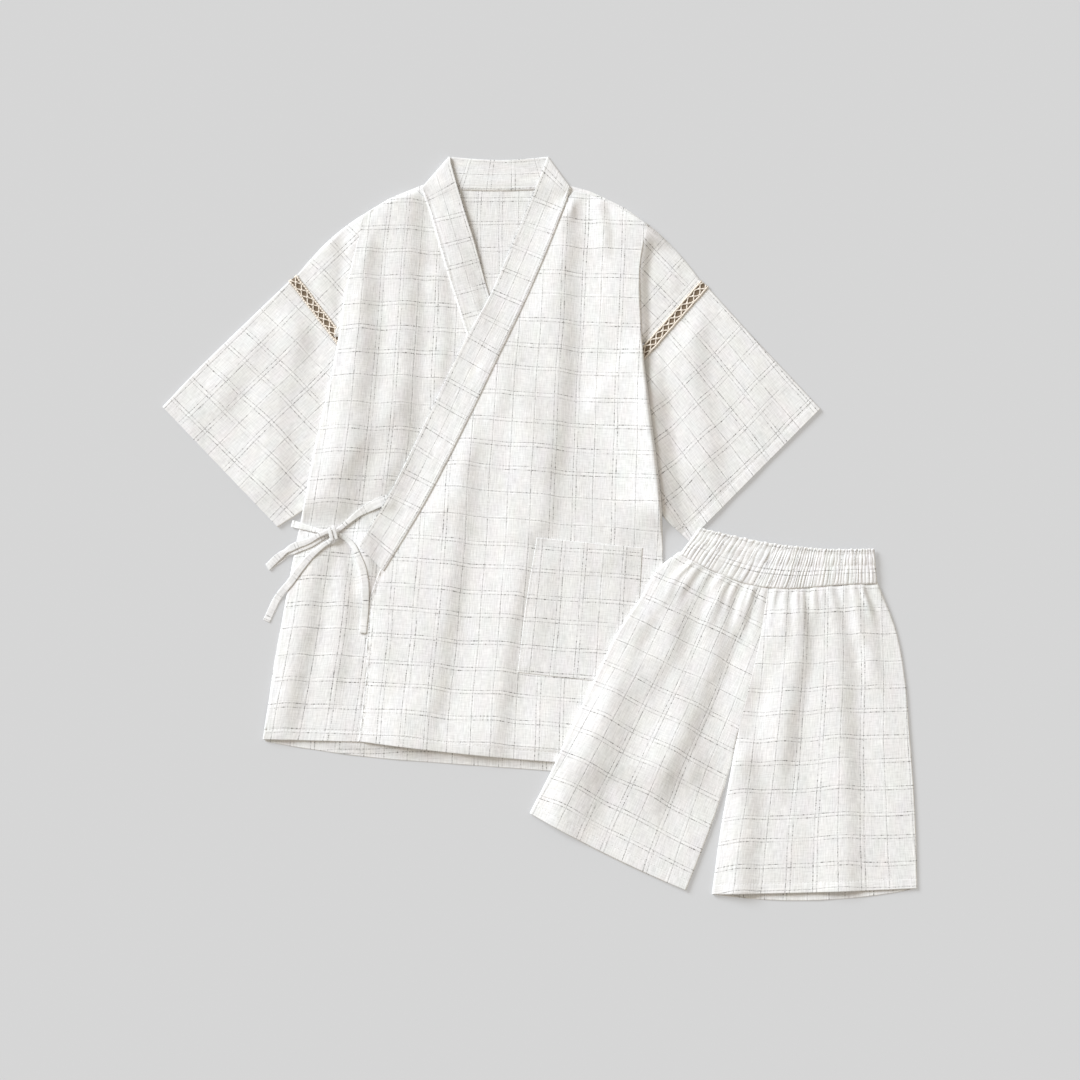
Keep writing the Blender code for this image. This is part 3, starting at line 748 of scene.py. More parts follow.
# the fronts come off the sleeves, and where the over front's edge comes out from below the collar
TOP_FADE = 26  # a sleeve has no relief at its top, and all of it this far from it
OPEN_EDGE = 0.8  # how round the edge of an open side is
JOIN_HIGH, JOIN_FALL = 5.6, 1.6  # height of the legs' front seam at the waistband, and its fall to the crotch
SEAM_LINE = 4.2  # groove of the collar strip's seam, from the strip's edge,
STRIP_TICKS = (0.5, 1.2, 2.0, 3.0, 3.7, SEAM_LINE, 4.7, 5.4)  # and the finer cells beside it
END_GAP = 1.0  # from the ends of a line to its first and last stitch


def groove(far, middle, wide, deep):
    return -deep * np.exp(-(((far - middle) / wide) ** 2))


def hem_relief(far):
    """A hem: the cloth is thicker in it, with a groove where it is stitched."""
    return 0.16 * smooth_step((HEM_WIDE + 1.6 - far) / 3.0) + groove(far, HEM_WIDE, 0.9, 0.18)


def on_board(board, points):
    """The height of the middle of a sheet that lies on the board there."""
    return board.at(board.spread(0), points) + GAP + CLOTH / 2


def sink(grid, heights, share):
    """Brings a grid down to the heights where they are lower, by a share of the way."""
    grid[..., 2] += (np.minimum(heights, grid[..., 2]) - grid[..., 2]) * share


def lowered_edge(board, grid, far, low, tallest):
    """Rounds an edge of a sheet down to the heights low, and clears what lies below again."""
    radius = np.clip((grid[..., 2] - low) * 1.1, 0.5, tallest)
    grid[..., 2] = round_edge(grid[..., 2], low, far, radius)
    return cleared(board, grid, CLOTH)


def front_relief(plan, creases, seed, first):
    """Relief of a front, which lies low along its hem and its first edge."""
    from_hem, from_edge = distances(plan, 0, True), distances(plan, 1, False)
    relief = crease_height(plan, creases) + unevenness(plan, seed, 0.3) + 0.3
    relief *= 0.6 + 0.4 * smooth_step(from_hem / 45)
    if first:  # this edge is its side fold
        relief *= 0.65 + 0.35 * smooth_step(from_edge / 20)
    else:  # it lies close beside the collar strip, and less so along the free edge
        reach = 12 + 22 * smooth_step((plan[..., 1] - NECK_END) / 60)
        relief *= 0.15 + 0.85 * smooth_step(from_edge / reach)
    return relief + hem_relief(from_hem)


def side_fold(board, edge, own, side, down):
    """How low a front's side fold comes, and how round it may be, at its rows, shares down of the armhole.

    At the shoulder it hasn't begun yet, and the cloth goes on level to the armhole. Further down it rounds
    down to what lies below it."""
    fall = smooth_step((down - 0.2) / 0.5)
    armhole = smooth_step((1.3 - down) / 0.3)
    lift = SHOULDER_LIFT[side] * smooth_step((down - 0.1) / 0.2) * armhole
    roll = smooth_step((down - 0.9) / 0.4) * smooth_step((SLEEVES_END - edge[..., 1]) / 70)
    room = WEDGE_ROOM * armhole + SIDE_LIFT[side] * roll
    rest = np.minimum(board.at(board.spread(1), edge) + GAP + CLOTH / 2 + room + lift, own)
    return own * (1 - fall) + rest * fall, SIDE_ROUND[side] + 1.2 * lift + SIDE_ROLL[side] * roll


def body_front(board, sections, creases, grain, side, seed, wide):
    """A front of the jacket, its places on the cloth, and the heights of its side fold."""
    first = side == "left"  # the edge where its side fold is
    order = sections if first else [Section(s[2], s[3], s[0], s[1], s.rise) for s in sections]
    t = row_places(sections, CELL, first=TOP_TICKS, last=HEM_TICKS)
    edges = (FOLD_TICKS, FREE_TICKS) if first else (FREE_TICKS, FOLD_TICKS)
    plan = panel_plan(order, t, ticks(wide, CELL, *edges) / wide)
    relief = front_relief(plan, creases, seed, first)
    grid = lay(board, plan, relief=relief)
    down = t[:, None] / ARMHOLE_ROWS
    column = [0 if first else -1]
    low, tallest = side_fold(board, plan[:, column], grid[:, column, 2], side, down)
    grid = lowered_edge(board, grid, distances(plan, 1, not first), low, tallest)
    grid = lowered_edge(board, grid, distances(plan, 0, False), on_board(board, plan[:1]), 1.0)
    if not first:  # the free edge lies on the under front with no room
        free = smooth_step((plan[:, :1, 1] - FREE_FROM) / 30) * smooth_step(1 - distances(plan, 1, False) / 9)
        sink(grid, np.maximum(board.at(board.spread(0), plan), 0.0) + CLOTH / 2, free)
    return grid, cloth_places(plan, GRAINS[grain], relief), (down[:, 0], low[:, 0])


def wedge_sheet(board, sections, column, side, seed, tuck, fold=None):
    """The cloth from a body panel's side fold to the armhole.

    At the shoulder it is level with the front. Further down it starts a little way under the front's fold."""
    v = np.linspace(0, WEDGE_END[side], 46)
    rows = curve_at(sections, v * ARMHOLE_ROWS)
    edge = rows[:, 0:2] if column == 0 else rows[:, 2:4]
    v = v[:, None]
    top, end = armhole_line(SLEEVES[side], LACE_WIDE + 2 * SEAM)
    low = top + (end - top) * (edge[-1, 1] - top[1]) / (end[1] - top[1])
    seam = top + (low - top) * v / v[-1]
    away = unit(edge - seam, 1.0)
    under_fold = tuck * smooth_step((v - FLUSH) * 5)
    start = edge + away * under_fold
    u = ticks(WEDGE_WIDE, CELL, first=(1.0,), last=(0.8, 2.0)) / WEDGE_WIDE
    plan = between(np.concatenate([start, seam], axis=1), u)
    plan[:, :, 1] -= SHOULDER_BOW[side] * arch(u[None]) * (1 - v) ** 2
    from_lace = distances(plan, 1, True)
    relief = crease_height(plan, WEDGE_CREASES[side]) + unevenness(plan, seed, 0.25, 40)
    relief *= smooth_step(from_lace / 14) * bool(tuck)
    # Beside the lace it lies as low as a little further from it, since the lace doesn't hold it up.
    seat = plan + unit(plan[:, :1] - plan[:, -1:]) * 5.0 * smooth_step(1 - from_lace / 11)[..., None]
    grid = lay(board, seat, reach=1, bridge=12, relief=relief)
    if fold:
        meet = np.interp(v[:, 0], *fold)[:, None] - WEDGE_ROOM * smooth_step((v - FLUSH) * 9)
        from_fold = distances(plan, 1, False) - under_fold
        reach = 10 + 26 * (1 - smooth_step(v * (1.6 + SHOULDER_LIFT[side]))) + SHOULDER_LIFT[side]
        share = smooth_step(1 - from_fold / reach) * smooth_step(from_lace / 9)
        grid[..., 2] = grid[..., 2] * (1 - share) + meet * share
        grid = lowered_edge(board, grid, distances(plan, 0, False), on_board(board, plan[:1]), 1.0)
    grid[..., :2] = plan
    return grid, cloth_places(plan, GRAINS["wedge_" + side], relief)


def tube_plans(sections, t, u, drop, top):
    """The plans of a tube's back and front. A leg's reach up to the line top, under the waistband."""
    plans = [panel_plan(sections, t, u, drop=d) for d in (drop, 0.0)]
    if top:
        for plan in plans:
            share = np.clip(1 - distances(plan, 0, False) / 60, 0, 1)
            plan[..., 1] += (top(plan[0, :, 0]) - plan[0, :, 1])[None] * share
    return plans


def tube_relief(plan, u, creases, seed, puff, is_leg):
    """Relief of a tube's front. One with no creases is a lace, which has no hem."""
    from_top = distances(plan, 0, False)
    first, last = distances(plan, 1, False), distances(plan, 1, True)
    relief = crease_height(plan, creases) + unevenness(plan, seed, 0.3) + 0.3
    if not is_leg:
        relief *= smooth_step(from_top / TOP_FADE)
    if creases:
        relief *= 0.35 + 0.65 * smooth_step(first / 26)
    relief += puff * (np.exp(-first / 12) + np.exp(-last / 12))
    if creases:
        relief += hem_relief(distances(plan, 0, True))
    if is_leg:
        relief *= 0.45 + 0.55 * smooth_step(from_top / 30)
        relief += gathers(plan, u * first[0, -1], seed) + 0.45 * smooth_step((from_top - 1) / 3)
    return relief


def lower_fold(ground, back, front, plan, relief):
    """Lets the fold at a leg's first side lie nearly as low as the cloth below lets it."""
    near = 0.7 * smooth_step(1 - distances(plan, 1, False) / 18)
    lowest = ground.at(ground.spread(1), plan) + GAP + CLOTH / 2
    for _ in range(12):
        lowest = np.maximum(mean_of_near(lowest), lowest - 0.6)
    sink(back, lowest, near)
    sink(front, back[..., 2] + CLOTH + 0.1 + relief, near)


def close_sides(back, front, plan, closed):
    """Rounds a tube's front and back together at its fold and, where it is closed, at its seam."""
    for from_end, share in ((False, 1.0), (True, closed)):
        column = -1 if from_end else 0
        far = distances(plan, 1, from_end)
        high, low = front[:, [column], 2], back[:, [column], 2]
        middle = (high + low) / 2
        radius = np.clip((high - low) * 0.75, 0.5, 1.8) * share + OPEN_EDGE * (1 - share)
        for grid, edge in ((front, high), (back, low)):
            grid[..., 2] = round_edge(grid[..., 2], middle + (edge - middle) * (1 - share), far, radius)


def tube_sheet(
    board, sections, grain, t, u, creases=(), seed=0, bridge=30, puff=0.3, drop=0.0, top=None, open_to=0
):
    """A sleeve, leg or lace: its back and front, joined by a fold on its first side and a seam on its last.

    The seam is open in the first rows, down to the table's row open_to, as in a leg above the crotch. There
    both legs' fronts come to the same heights, as their front seam joins them."""
    under, plan = tube_plans(sections, t, u, drop, top)
    ground = board.copy()
    relief = unevenness(under, seed + 50, 0.2) + 0.2
    if not top:
        relief *= smooth_step(distances(plan, 0, False) / TOP_FADE)
    back = lay(board, under, bridge=bridge, relief=relief)
    board.add(back, CLOTH)
    relief = tube_relief(plan, u, creases, seed, puff, bool(top))
    front = lay(board, plan, bridge=bridge, relief=relief)
    if top:
        lower_fold(ground, back, front, plan, relief)
    if open_to:
        near = smooth_step(1 - distances(plan, 1, True) / 26) * smooth_step(open_to + 1 - t)[:, None]
        join = JOIN_HIGH - JOIN_FALL * np.minimum(t / open_to, 1)[:, None]
        front[..., 2] += (join - front[..., -1:, 2]) * near
    close_sides(back, front, plan, smooth_step((t - open_to + 0.1) / 0.1)[:, None])
    grid = np.concatenate([back[:, ::-1], front[:, 1:]], axis=1)
    flat = np.concatenate([(2 * plan[:, :1] - under)[:, :0:-1], plan], axis=1)
    lift = np.concatenate([np.zeros_like(relief)[:, 1:], relief], axis=1)
    board.add(front, CLOTH)
    return grid, front, cloth_places(flat, GRAINS[grain], lift)


def gathers(plan, across, seed):
    """Small folds that start at a gathered edge, each of its own width, height and length."""
    draw = np.random.default_rng(seed)
    far = distances(plan, 0, False)
    height = np.zeros(plan.shape[:2])
    middle = 4.0
    while middle < across[-1] - 3:
        wide, long, high = draw.uniform(2.0, 4.6), draw.uniform(40, 105), draw.uniform(0.9, 2.4)
        bend = draw.uniform(-0.06, 0.06)
        ridge = np.exp(-(((across[None] - middle - bend * far) / (wide * (0.75 + far / 60))) ** 2))
        height += high * ridge * smooth_step(1 - far / long)
        middle += wide * 1.8 + draw.uniform(0.8, 6.0)
    begun = smooth_step((far - 1) / 7)
    return height * begun + height[:1].mean() * (1 - begun)


def strip_sheet(board, rows, start=0.0, seed=0, creases=(), sunk=0.05, level=0.0, soften=4):
    """A run of the collar strip, a little crowned across, and its places along the strip."""
    t = np.linspace(0, len(rows) - 1, 300)
    along = lengths_along(strip_plan(rows, t, np.array([0.5]))[:, 0])
    at = ticks(along[-1], CELL, first=(4.0,), last=(4.0,))
    u = ticks(STRIP_WIDE, 2.2, first=(0.5, 1.2), last=STRIP_TICKS) / STRIP_WIDE
    plan = strip_plan(rows, np.interp(at, along, t), u)
    from_seam = distances(plan, 1, True)
    ends = np.minimum(distances(plan, 0, False), distances(plan, 0, True))
    relief = level * (1 - u)[None] * smooth_step(ends / 30) + groove(from_seam, SEAM_LINE, 0.6, 0.3)
    relief += unevenness(plan, seed, 0.2, 50) + crease_height(plan, creases) - 0.2
    grid = lay(board, plan, BAND, reach=1, bridge=16, soften=soften, relief=relief)
    low = np.maximum(board.at(board.spread(0), plan[:, -1:]) - sunk, BAND / 2 + 0.05)
    grid[..., 2] = round_edge(grid[..., 2], low, from_seam, 2.4)  # it is seamed to the front there
    return grid, np.stack(np.meshgrid(u * STRIP_WIDE * COLLAR_TIGHT, at + start), -1)


def sideways(path):
    """Unit vectors on the board that are square to a path's run."""
    run = unit(np.gradient(path[:, :2], axis=0))
    return np.stack([-run[:, 1], run[:, 0]], 1)


def turned_over(first, second, steps=6):
    """The half round between the last row of one run and the first row of the next, above or below it."""
    edge = first[-1].copy()
    out = sideways(edge)
    out *= np.sign((out * (edge[:, :2] - first[-2, :, :2])).sum(1))[:, None]
    rise = (second[0, :, 2:3] - edge[:, 2:3]) / 2
    first[-1, :, :2] -= abs(rise) * out
    second[0, :, :2] -= abs(rise) * out
    middle = (first[-1] + second[0]) / 2
    angles = np.linspace(-math.pi / 2, math.pi / 2, steps + 2)[1:-1, None, None]
    return middle + np.concatenate([abs(rise) * out * np.cos(angles), rise * np.sin(angles)], axis=2)


def joined_strip(runs):
    """One strip from several runs, each as (grid, places), turned over at the end of each."""
    grids, places = [runs[0][0]], [runs[0][1]]
    for (low, below), (high, above) in zip(runs, runs[1:]):
        arcs = turned_over(low, high)
        share = np.linspace(0, 1, len(arcs) + 2)[1:-1, None, None]
        grids += [arcs, high]
        places += [below[-1:] * (1 - share) + above[:1] * share, above]
    return np.concatenate(grids), np.concatenate(places) * MM


def points_at(places, along, line):
    """The points of a line at places counted along it, where its own points are at the places along."""
    return np.stack([np.interp(places, along, line[:, k]) for k in range(3)], -1)


def line_on(grid, axis, from_end, away, wall=CLOTH):
    """Points in the world on top of a sheet, a set distance in from one of its edges."""
    top = to_world(grid) + upward(grid) * wall / 2
    far = distances(grid, axis, from_end)
    if axis == 1:
        top, far = top.transpose(1, 0, 2), far.T
    if from_end:
        top, far = top[::-1], far[::-1]
    return np.array([points_at(away, far[:, j], top[:, j]) for j in range(top.shape[1])])


def stitched(mesh, line, long=2.8, gap=0.8, radius=0.2):
    """A row of stitches along points in the world: each dips into the cloth at both ends."""
    along = lengths_along(line)
    start = END_GAP
    while start + long < along[-1] - END_GAP:
        path = points_at(start + np.array([0.0, 0.5, 1.0]) * long, along, line)
        path[:, 2] += (-0.12, 0.10, -0.12)
        mesh.tube(path, np.array([0.6, 1.0, 0.6]) * radius, sides=4)
        start += long + gap


# ---------------------------------------------------------------- waistband

BAND_TALL = 37  # the waistband's height
WAIST_ACROSS = ticks(BAND_TALL, 1.4, first=(0.5,), last=(0.5,)) / BAND_TALL
PLEATS = 53
PLEAT_STEPS = 8
LEVEL_WIDE = 61  # points along the band whose heights are evened out
LAYER_ROOM = 1.7  # height of the band's front above its back along the top
GATHERED = 1.4  # length of cloth gathered into each length of the band
CHANNELS = (0.0, 0.16, 0.46, 1.0)  # shares of its height: the frill at the top, and two elastic channels


def waistband_back(board):
    plan = strip_plan(WAISTBAND, np.linspace(0, len(WAISTBAND) - 1, 90), WAIST_ACROSS)
    grid = lay(board, plan, bridge=40, relief=0.3)
    board.add(grid, CLOTH)
    return grid


def free_share(channel):
    """How free the cloth is at each place across the band: not at the stitches, and most between them."""
    first, last = np.array(CHANNELS)[channel], np.array(CHANNELS)[channel + 1]
    free = np.sin(math.pi * np.clip((WAIST_ACROSS - first) / (last - first), 0, 1)) ** 0.7
    frill = 1 - 0.9 * smooth_step(WAIST_ACROSS / CHANNELS[1])
    return np.where(channel == 0, frill, free)


def waistband_front(board):
    """The front of the waistband: two elastic channels, pleated between their rows of stitching."""
    draw = np.random.default_rng(11)
    t = np.linspace(0, len(WAISTBAND) - 1, PLEATS * PLEAT_STEPS + 1)
    plan = strip_plan(WAISTBAND, t, WAIST_ACROSS)
    phase = np.arange(len(t)) / PLEAT_STEPS
    pleat = np.clip(phase.astype(int), 0, PLEATS - 1)
    heights = draw.uniform(0.4, 1.0, (PLEATS, 3))
    slide = draw.uniform(-0.4, 0.4, (PLEATS + 1, 3))
    channel = np.searchsorted(CHANNELS, WAIST_ACROSS, side="right").clip(1, len(CHANNELS) - 1) - 1
    free = free_share(channel)[None]
    drift = points_at(phase, np.arange(PLEATS + 1), slide)[:, channel]
    ridge = np.abs(np.sin(math.pi * (phase[:, None] + drift * free))) ** 0.7 * heights[pleat][:, channel]
    relief = 0.25 * free + ridge * (0.45 + 0.55 * free) + unevenness(plan, 12, 0.2, 30)
    level = board.at(board.spread(1), plan[:, -1]) + 0.1
    near = np.ones(LEVEL_WIDE) / LEVEL_WIDE
    level = np.convolve(np.pad(level, LEVEL_WIDE // 2, mode="edge"), near, mode="valid")[:, None]
    grid = np.concatenate([plan, (level + relief)[..., None]], axis=2)
    frill = 0.9 * np.sin(math.pi * phase + 1) * heights[pleat, 0]
    grid[..., 1] += frill[:, None] * (1 - smooth_step(WAIST_ACROSS[None] / 0.14))
    grid[..., 2] = round_edge(grid[..., 2], level - 0.25, distances(plan, 1, True), 0.9)
    return grid


def waistband_ring(back, front):
    """The waistband's front and back as one ring, closed at its two sides, and low along the top."""
    level = np.interp(np.linspace(0, 1, len(back)), np.linspace(0, 1, len(front)), front[..., 2].mean(1))
    back[..., 2] += np.maximum(level[:, None] - LAYER_ROOM - back[..., 2], 0) * (1 - WAIST_ACROSS[None])
    for end in (False, True):
        row = -1 if end else 0
        middle = ((back[row, :, 2] + front[row, :, 2]) / 2)[None]
        for grid in (back, front):
            grid[..., 2] = round_edge(grid[..., 2], middle, distances(grid, 0, end), 2.6)
    ring = np.concatenate([front, back[-2::-1]])
    along = distances(ring, 0, False).mean(1) * GATHERED
    return ring, np.stack(np.meshgrid(WAIST_ACROSS * BAND_TALL, along)[::-1], -1) * MM


# ---------------------------------------------------------------- ties


def mean_of_next(z):
    """The mean of the values before and after each one."""
    near = np.pad(z, 1, mode="edge")
    return (near[:-2] + near[2:]) / 2


def laid_path(board, ways, wide, thick, cell=1.5, bridge=10):
    """A tie's path along the board: evenly spaced points, clear of what lies below across its whole width."""
    t = np.linspace(0, len(ways) - 1, 400)
    along = lengths_along(curve_at(ways, t))
    plan = curve_at(ways, np.interp(ticks(along[-1], cell), along, t))
    across = plan[:, None] + sideways(plan)[:, None] * np.linspace(-0.45, 0.45, 5)[None, :, None] * wide
    need = np.maximum(board.at(board.spread(1), across).max(1) + TIE_ROOM, 0.05) + thick / 2
    z = need.copy()
    for _ in range(bridge):
        z = np.maximum(need, mean_of_next(z))
    for _ in range(3):
        z = (mean_of_next(z) + z) / 2
    board.add(np.concatenate([across, np.broadcast_to(z[:, None, None], (*across.shape[:2], 1))], 2), thick)
    return np.concatenate([plan, z[:, None]], 1)


def sides_of(run):
    """Unit vectors square to a tie's run: level at its start, and then each turned little from the last."""
    side = [np.cross(run[0], UP)]
    for way in run:
        beside = side[-1] * np.array([1, 1, 0.5 + 0.5 * abs(way[2])])
        side.append(unit(beside - way * (beside @ way)))
    return np.array(side[1:])


def ribbon(mesh, path, wide, thick, start=0.0):
    """A flat tube of cloth along a path in board millimetres."""
    world = to_world(path)
    run = unit(np.gradient(world, axis=0))
    side = sides_of(run)
    up = np.cross(side, run)
    angle = np.linspace(0, 2 * math.pi, 17)
    x = np.sign(np.cos(angle)) * np.abs(np.cos(angle)) ** 0.6 * (wide[:, None] - TIE_WALL) / 2
    y = np.sign(np.sin(angle)) * np.abs(np.sin(angle)) ** 0.8 * (thick[:, None] - TIE_WALL) / 2
    ring = world[:, None] + side[:, None] * x[..., None] + up[:, None] * y[..., None]
    grid = np.stack([ring[..., 0] + BOARD_MIDDLE[0], BOARD_MIDDLE[1] - ring[..., 1], ring[..., 2]], -1)
    around = np.linspace(0, 2.05 * TIE_WIDE, len(angle)) + 3.0
    mesh.shell(grid, np.stack(np.meshgrid(around, lengths_along(world) + start), -1) * MM, TIE_WALL)


def pinched(path, near=5.0, far=48.0, narrow=0.6):
    """A tie's width and thickness along a path: drawn together in the knot and where the loop is twisted.

    It ends a little thicker, where its cloth is folded in."""
    share = smooth_step((np.linalg.norm(path[:, :2] - np.array(KNOT_MIDDLE), axis=1) - near) / (far - near))
    twist = np.exp(-((np.linalg.norm(path[:, :2] - np.array(TWIST), axis=1) / 4.5) ** 2))
    root = smooth_step((path[:, 0] - 352) / 26) * (path[:, 1] < 520)  # where the tie leaves the collar
    wide = TIE_WIDE * (narrow + (1 - narrow) * share + 0.35 * root) * (1 - 0.42 * twist)
    thick = TIE_THICK * (1.3 - 0.3 * share + 0.25 * twist - 0.35 * root)
    thick[-2:] = (1.2, 0.95)
    return wide, thick


# ---------------------------------------------------------------- materials

WARP_PITCH, WEFT_PITCH = 21.7, 25.2  # between the check's dark yarns, or pairs of them
WEAVE_TURNS = (7.4, 6.6)  # radians of the weave's ripple in a millimetre
WHITE = (0.830, 0.818, 0.797, 1.0)
DARK_YARN = (0.13, 0.12, 0.11, 1.0)
MATT, LITTLE_SHINE = 0.9, 0.25  # roughness and specular level of all the yarns


class Graph:
    """A material's nodes, with numbers or sockets as inputs."""

    def __init__(self, name):
        self.material = bpy.data.materials.new(name)
        self.material.use_nodes = True
        self.tree = self.material.node_tree
        self.shader = self.tree.nodes["Principled BSDF"]

    def node(self, kind, inputs=(), out=0, **settings):
        made = self.tree.nodes.new(kind)
        for key, value in settings.items():
            setattr(made, key, value)
        for key, value in dict(inputs).items():
            self.feed(made.inputs[key], value)
        return made.outputs[out]

    def feed(self, socket, value):
        if isinstance(value, bpy.types.NodeSocket):
            self.tree.links.new(value, socket)
        else:
            socket.default_value = value

    def math(self, operation, *values):
        return self.node("ShaderNodeMath", dict(enumerate(values)), operation=operation)

    def times(self, *values):
        return self.math("MULTIPLY", *values)

    def plus(self, *values):
        return self.math("ADD", *values)

    def minus(self, *values):
        return self.math("SUBTRACT", *values)

    def scaled(self, value, scale, shift):
        return self.math("MULTIPLY_ADD", value, scale, shift)

    def vector(self, operation, inputs):
        return self.node("ShaderNodeVectorMath", inputs, operation=operation)

    def ramp(self, value, low, high, to_low=0.0, to_high=1.0):
        """A smooth change from to_low, where the value is low, to to_high, where it is high."""
        inputs = {"Value": value, "From Min": low, "From Max": high, "To Min": to_low, "To Max": to_high}
        return self.node("ShaderNodeMapRange", inputs, interpolation_type="SMOOTHSTEP")

    def noise(self, u, v, across, along, detail=2.0, seed=0.0, out=0):
        """Noise from 0 to 1 with patches of so many millimetres across and along."""
        across, along = self.math("DIVIDE", u, across), self.math("DIVIDE", v, along)
        place = self.node("ShaderNodeCombineXYZ", {0: across, 1: along, 2: seed})
        return self.node("ShaderNodeTexNoise", {"Vector": place, "Scale": 1.0, "Detail": detail}, out=out)

    def draw(self, number, seed):
        """A random number from 0 to 1 for each whole number."""
        return self.node("ShaderNodeTexWhiteNoise", {"W": self.plus(number, seed)}, noise_dimensions="1D")

    def cloth_places(self):
        """The places on the flat cloth, in millimetres."""
        split = self.node("ShaderNodeSeparateXYZ", {0: self.node("ShaderNodeUVMap", uv_map="cloth")})
        return self.times(split, 1000.0), self.times(split.node.outputs[1], 1000.0)

    def finish(self, colour, height, strength, distance):
        """A matt yarn surface of a colour, with a bump."""
        self.feed(self.shader.inputs["Base Color"], colour)
        bump = self.node("ShaderNodeBump", {"Height": height, "Strength": strength, "Distance": distance})
        self.feed(self.shader.inputs["Normal"], bump)
        self.shader.inputs["Roughness"].default_value = MATT
        self.shader.inputs["Specular IOR Level"].default_value = LITTLE_SHINE
        return self.material


def yarn_lines(graph, across, along, pitch, single, gap, seed):
    """Strength of thin dark yarns, and of the pale slub between them.

    They lie in pairs a gap apart, or singly, and the share single of them is single."""
    at = graph.math("DIVIDE", across, pitch)
    number = graph.math("FLOOR", graph.plus(at, 0.5))
    from_middle = graph.times(graph.minus(at, number), pitch)
    shift = graph.times(graph.minus(graph.draw(number, seed), 0.5), 3.6)
    waver = graph.times(graph.minus(graph.noise(number, along, 0.37, 70, 1.0, seed), 0.5), 2.2)
    off = graph.plus(graph.minus(from_middle, shift), waver)
    paired = graph.math("GREATER_THAN", graph.draw(number, seed + 31.5), single)
    half = graph.times(paired, graph.scaled(graph.draw(number, seed + 57.5), 0.5, gap / 2 - 0.25))
    from_pair = graph.math("ABSOLUTE", off)
    from_line = graph.math("ABSOLUTE", graph.minus(from_pair, half))
    which = graph.plus(number, graph.times(graph.math("SIGN", off), 0.25))
    speck = graph.noise(which, along, 0.11, 1.1, 1.0, seed + 3)
    line = graph.ramp(graph.scaled(graph.ramp(speck, 0.58, 0.7), -0.22, from_line), 0.12, 0.50, 1.0, 0.0)
    dots = graph.ramp(speck, 0.42, 0.66, 0.28, 1.0)
    fading = graph.ramp(graph.noise(which, along, 0.13, 30, 1.0, seed + 5), 0.30, 0.66, 0.35, 1.0)
    dark = graph.times(graph.times(line, dots), fading)
    from_slub = graph.math("ABSOLUTE", graph.minus(from_pair, graph.scaled(paired, -1.4, 1.4)))
    pale = graph.ramp(from_slub, 0.3, 1.1, 1.0, 0.0)
    pale = graph.times(pale, graph.ramp(graph.noise(number, along, 0.17, 9, 1.0, seed + 9), 0.4, 0.6))
    return dark, pale


def checked_cloth(name):
    """Crinkled off-white cotton and linen with a check of broken grey-brown yarns."""
    graph = Graph(name)
    u, v = graph.cloth_places()
    warp, warp_pale = yarn_lines(graph, u, v, WARP_PITCH, 0.35, 3.9, 11.5)
    weft, weft_pale = yarn_lines(graph, v, u, WEFT_PITCH, 0.12, 3.7, 83.5)
    dark = graph.math("MAXIMUM", warp, weft)
    pale = graph.math("MAXIMUM", warp_pale, weft_pale)
    down = graph.noise(u, v, 1.1, 11.0, 1.0, 1.0)
    over = graph.noise(u, v, 9.0, 1.1, 1.0, 2.0)
    cloud = graph.noise(u, v, 55.0, 90.0, 2.0, 3.0)
    tone = graph.plus(graph.scaled(down, 0.40, -0.20), graph.scaled(over, 0.30, -0.15))
    tone = graph.plus(tone, graph.scaled(cloud, 0.08, -0.04))
    tone = graph.plus(graph.plus(tone, graph.times(pale, 0.07)), 1.0)
    mix = {0: graph.times(dark, 0.92), 6: WHITE, 7: DARK_YARN}
    base = graph.node("ShaderNodeMix", mix, out=2, data_type="RGBA")
    hue = graph.noise(u, v, 14.0, 30.0, 1.0, 7.0, out=1)
    hue = graph.vector("MULTIPLY_ADD", {0: hue, 1: (0.06, 0.04, 0.06), 2: (0.97, 0.98, 0.97)})
    colour = graph.vector("MULTIPLY", {0: graph.vector("SCALE", {0: base, "Scale": tone}), 1: hue})
    across, along = WEAVE_TURNS
    weave = graph.times(graph.math("SINE", graph.times(u, across)), graph.math("SINE", graph.times(v, along)))
    height = graph.plus(graph.times(down, 0.55), graph.times(over, 0.35))
    height = graph.plus(height, graph.times(weave, 0.05))
    height = graph.plus(height, graph.times(graph.plus(dark, pale), 0.16))
    graph.shader.inputs["Sheen Weight"].default_value = 0.12
    return graph.finish(colour, height, 0.5, 0.0006)


def plain_yarn(name, colour, grain=0.12):
    """Cotton of one colour, a little mottled: the lace's yarn, the sewing thread, and the sheet under the
    lace's yarn, whose brown is painted shade.
    """
    graph = Graph(name)
    u, v = graph.cloth_places()
    mottle = graph.noise(u, v, 0.9, 0.9, 2.0, 4.0)
    value = graph.scaled(mottle, grain * 2, 1.0 - grain)
    return graph.finish(graph.vector("SCALE", {0: colour, "Scale": value}), mottle, 0.4, 0.0003)


def plain(name, colour, roughness):
    graph = Graph(name)
    graph.shader.inputs["Base Color"].default_value = colour
    graph.shader.inputs["Roughness"].default_value = roughness
    return graph.material


# ---------------------------------------------------------------- the garment

BACK_WIDE, UNDER_WIDE, OVER_WIDE = 330, 190, 250  # about how wide the panels are as they lie,
SLEEVE_WIDE, LEG_WIDE, POCKET_WIDE = 170, 175, 108  # by which their grids are divided
BACK_CELL, POCKET_CELL, LEG_CELL = 3.2, 2.4, 2.0
POCKET_WALL = 0.5
POCKET_TICKS = (0.5, 1.5)
LACE_BARE = 163.0  # length of the lace round the armhole's back, which shows no yarn
WEDGE_TUCK = 5.0  # how far a wedge starts under the front's side fold
COLLAR_END = 575  # where on the board the over front's free edge comes out below the collar

cloth = checked_cloth("checked_cloth")
# The lace's sheet is painted shade: its brown stands for the dark inside of the garment seen through the
# lace's holes.
lace_shade_sheet = plain_yarn("lace_shade_sheet", (0.215, 0.162, 0.112), 0.3)
lace_yarn = plain_yarn("lace_yarn", (0.84, 0.76, 0.66))
sewing_thread = plain_yarn("sewing_thread", (0.78, 0.765, 0.735))
made = {}


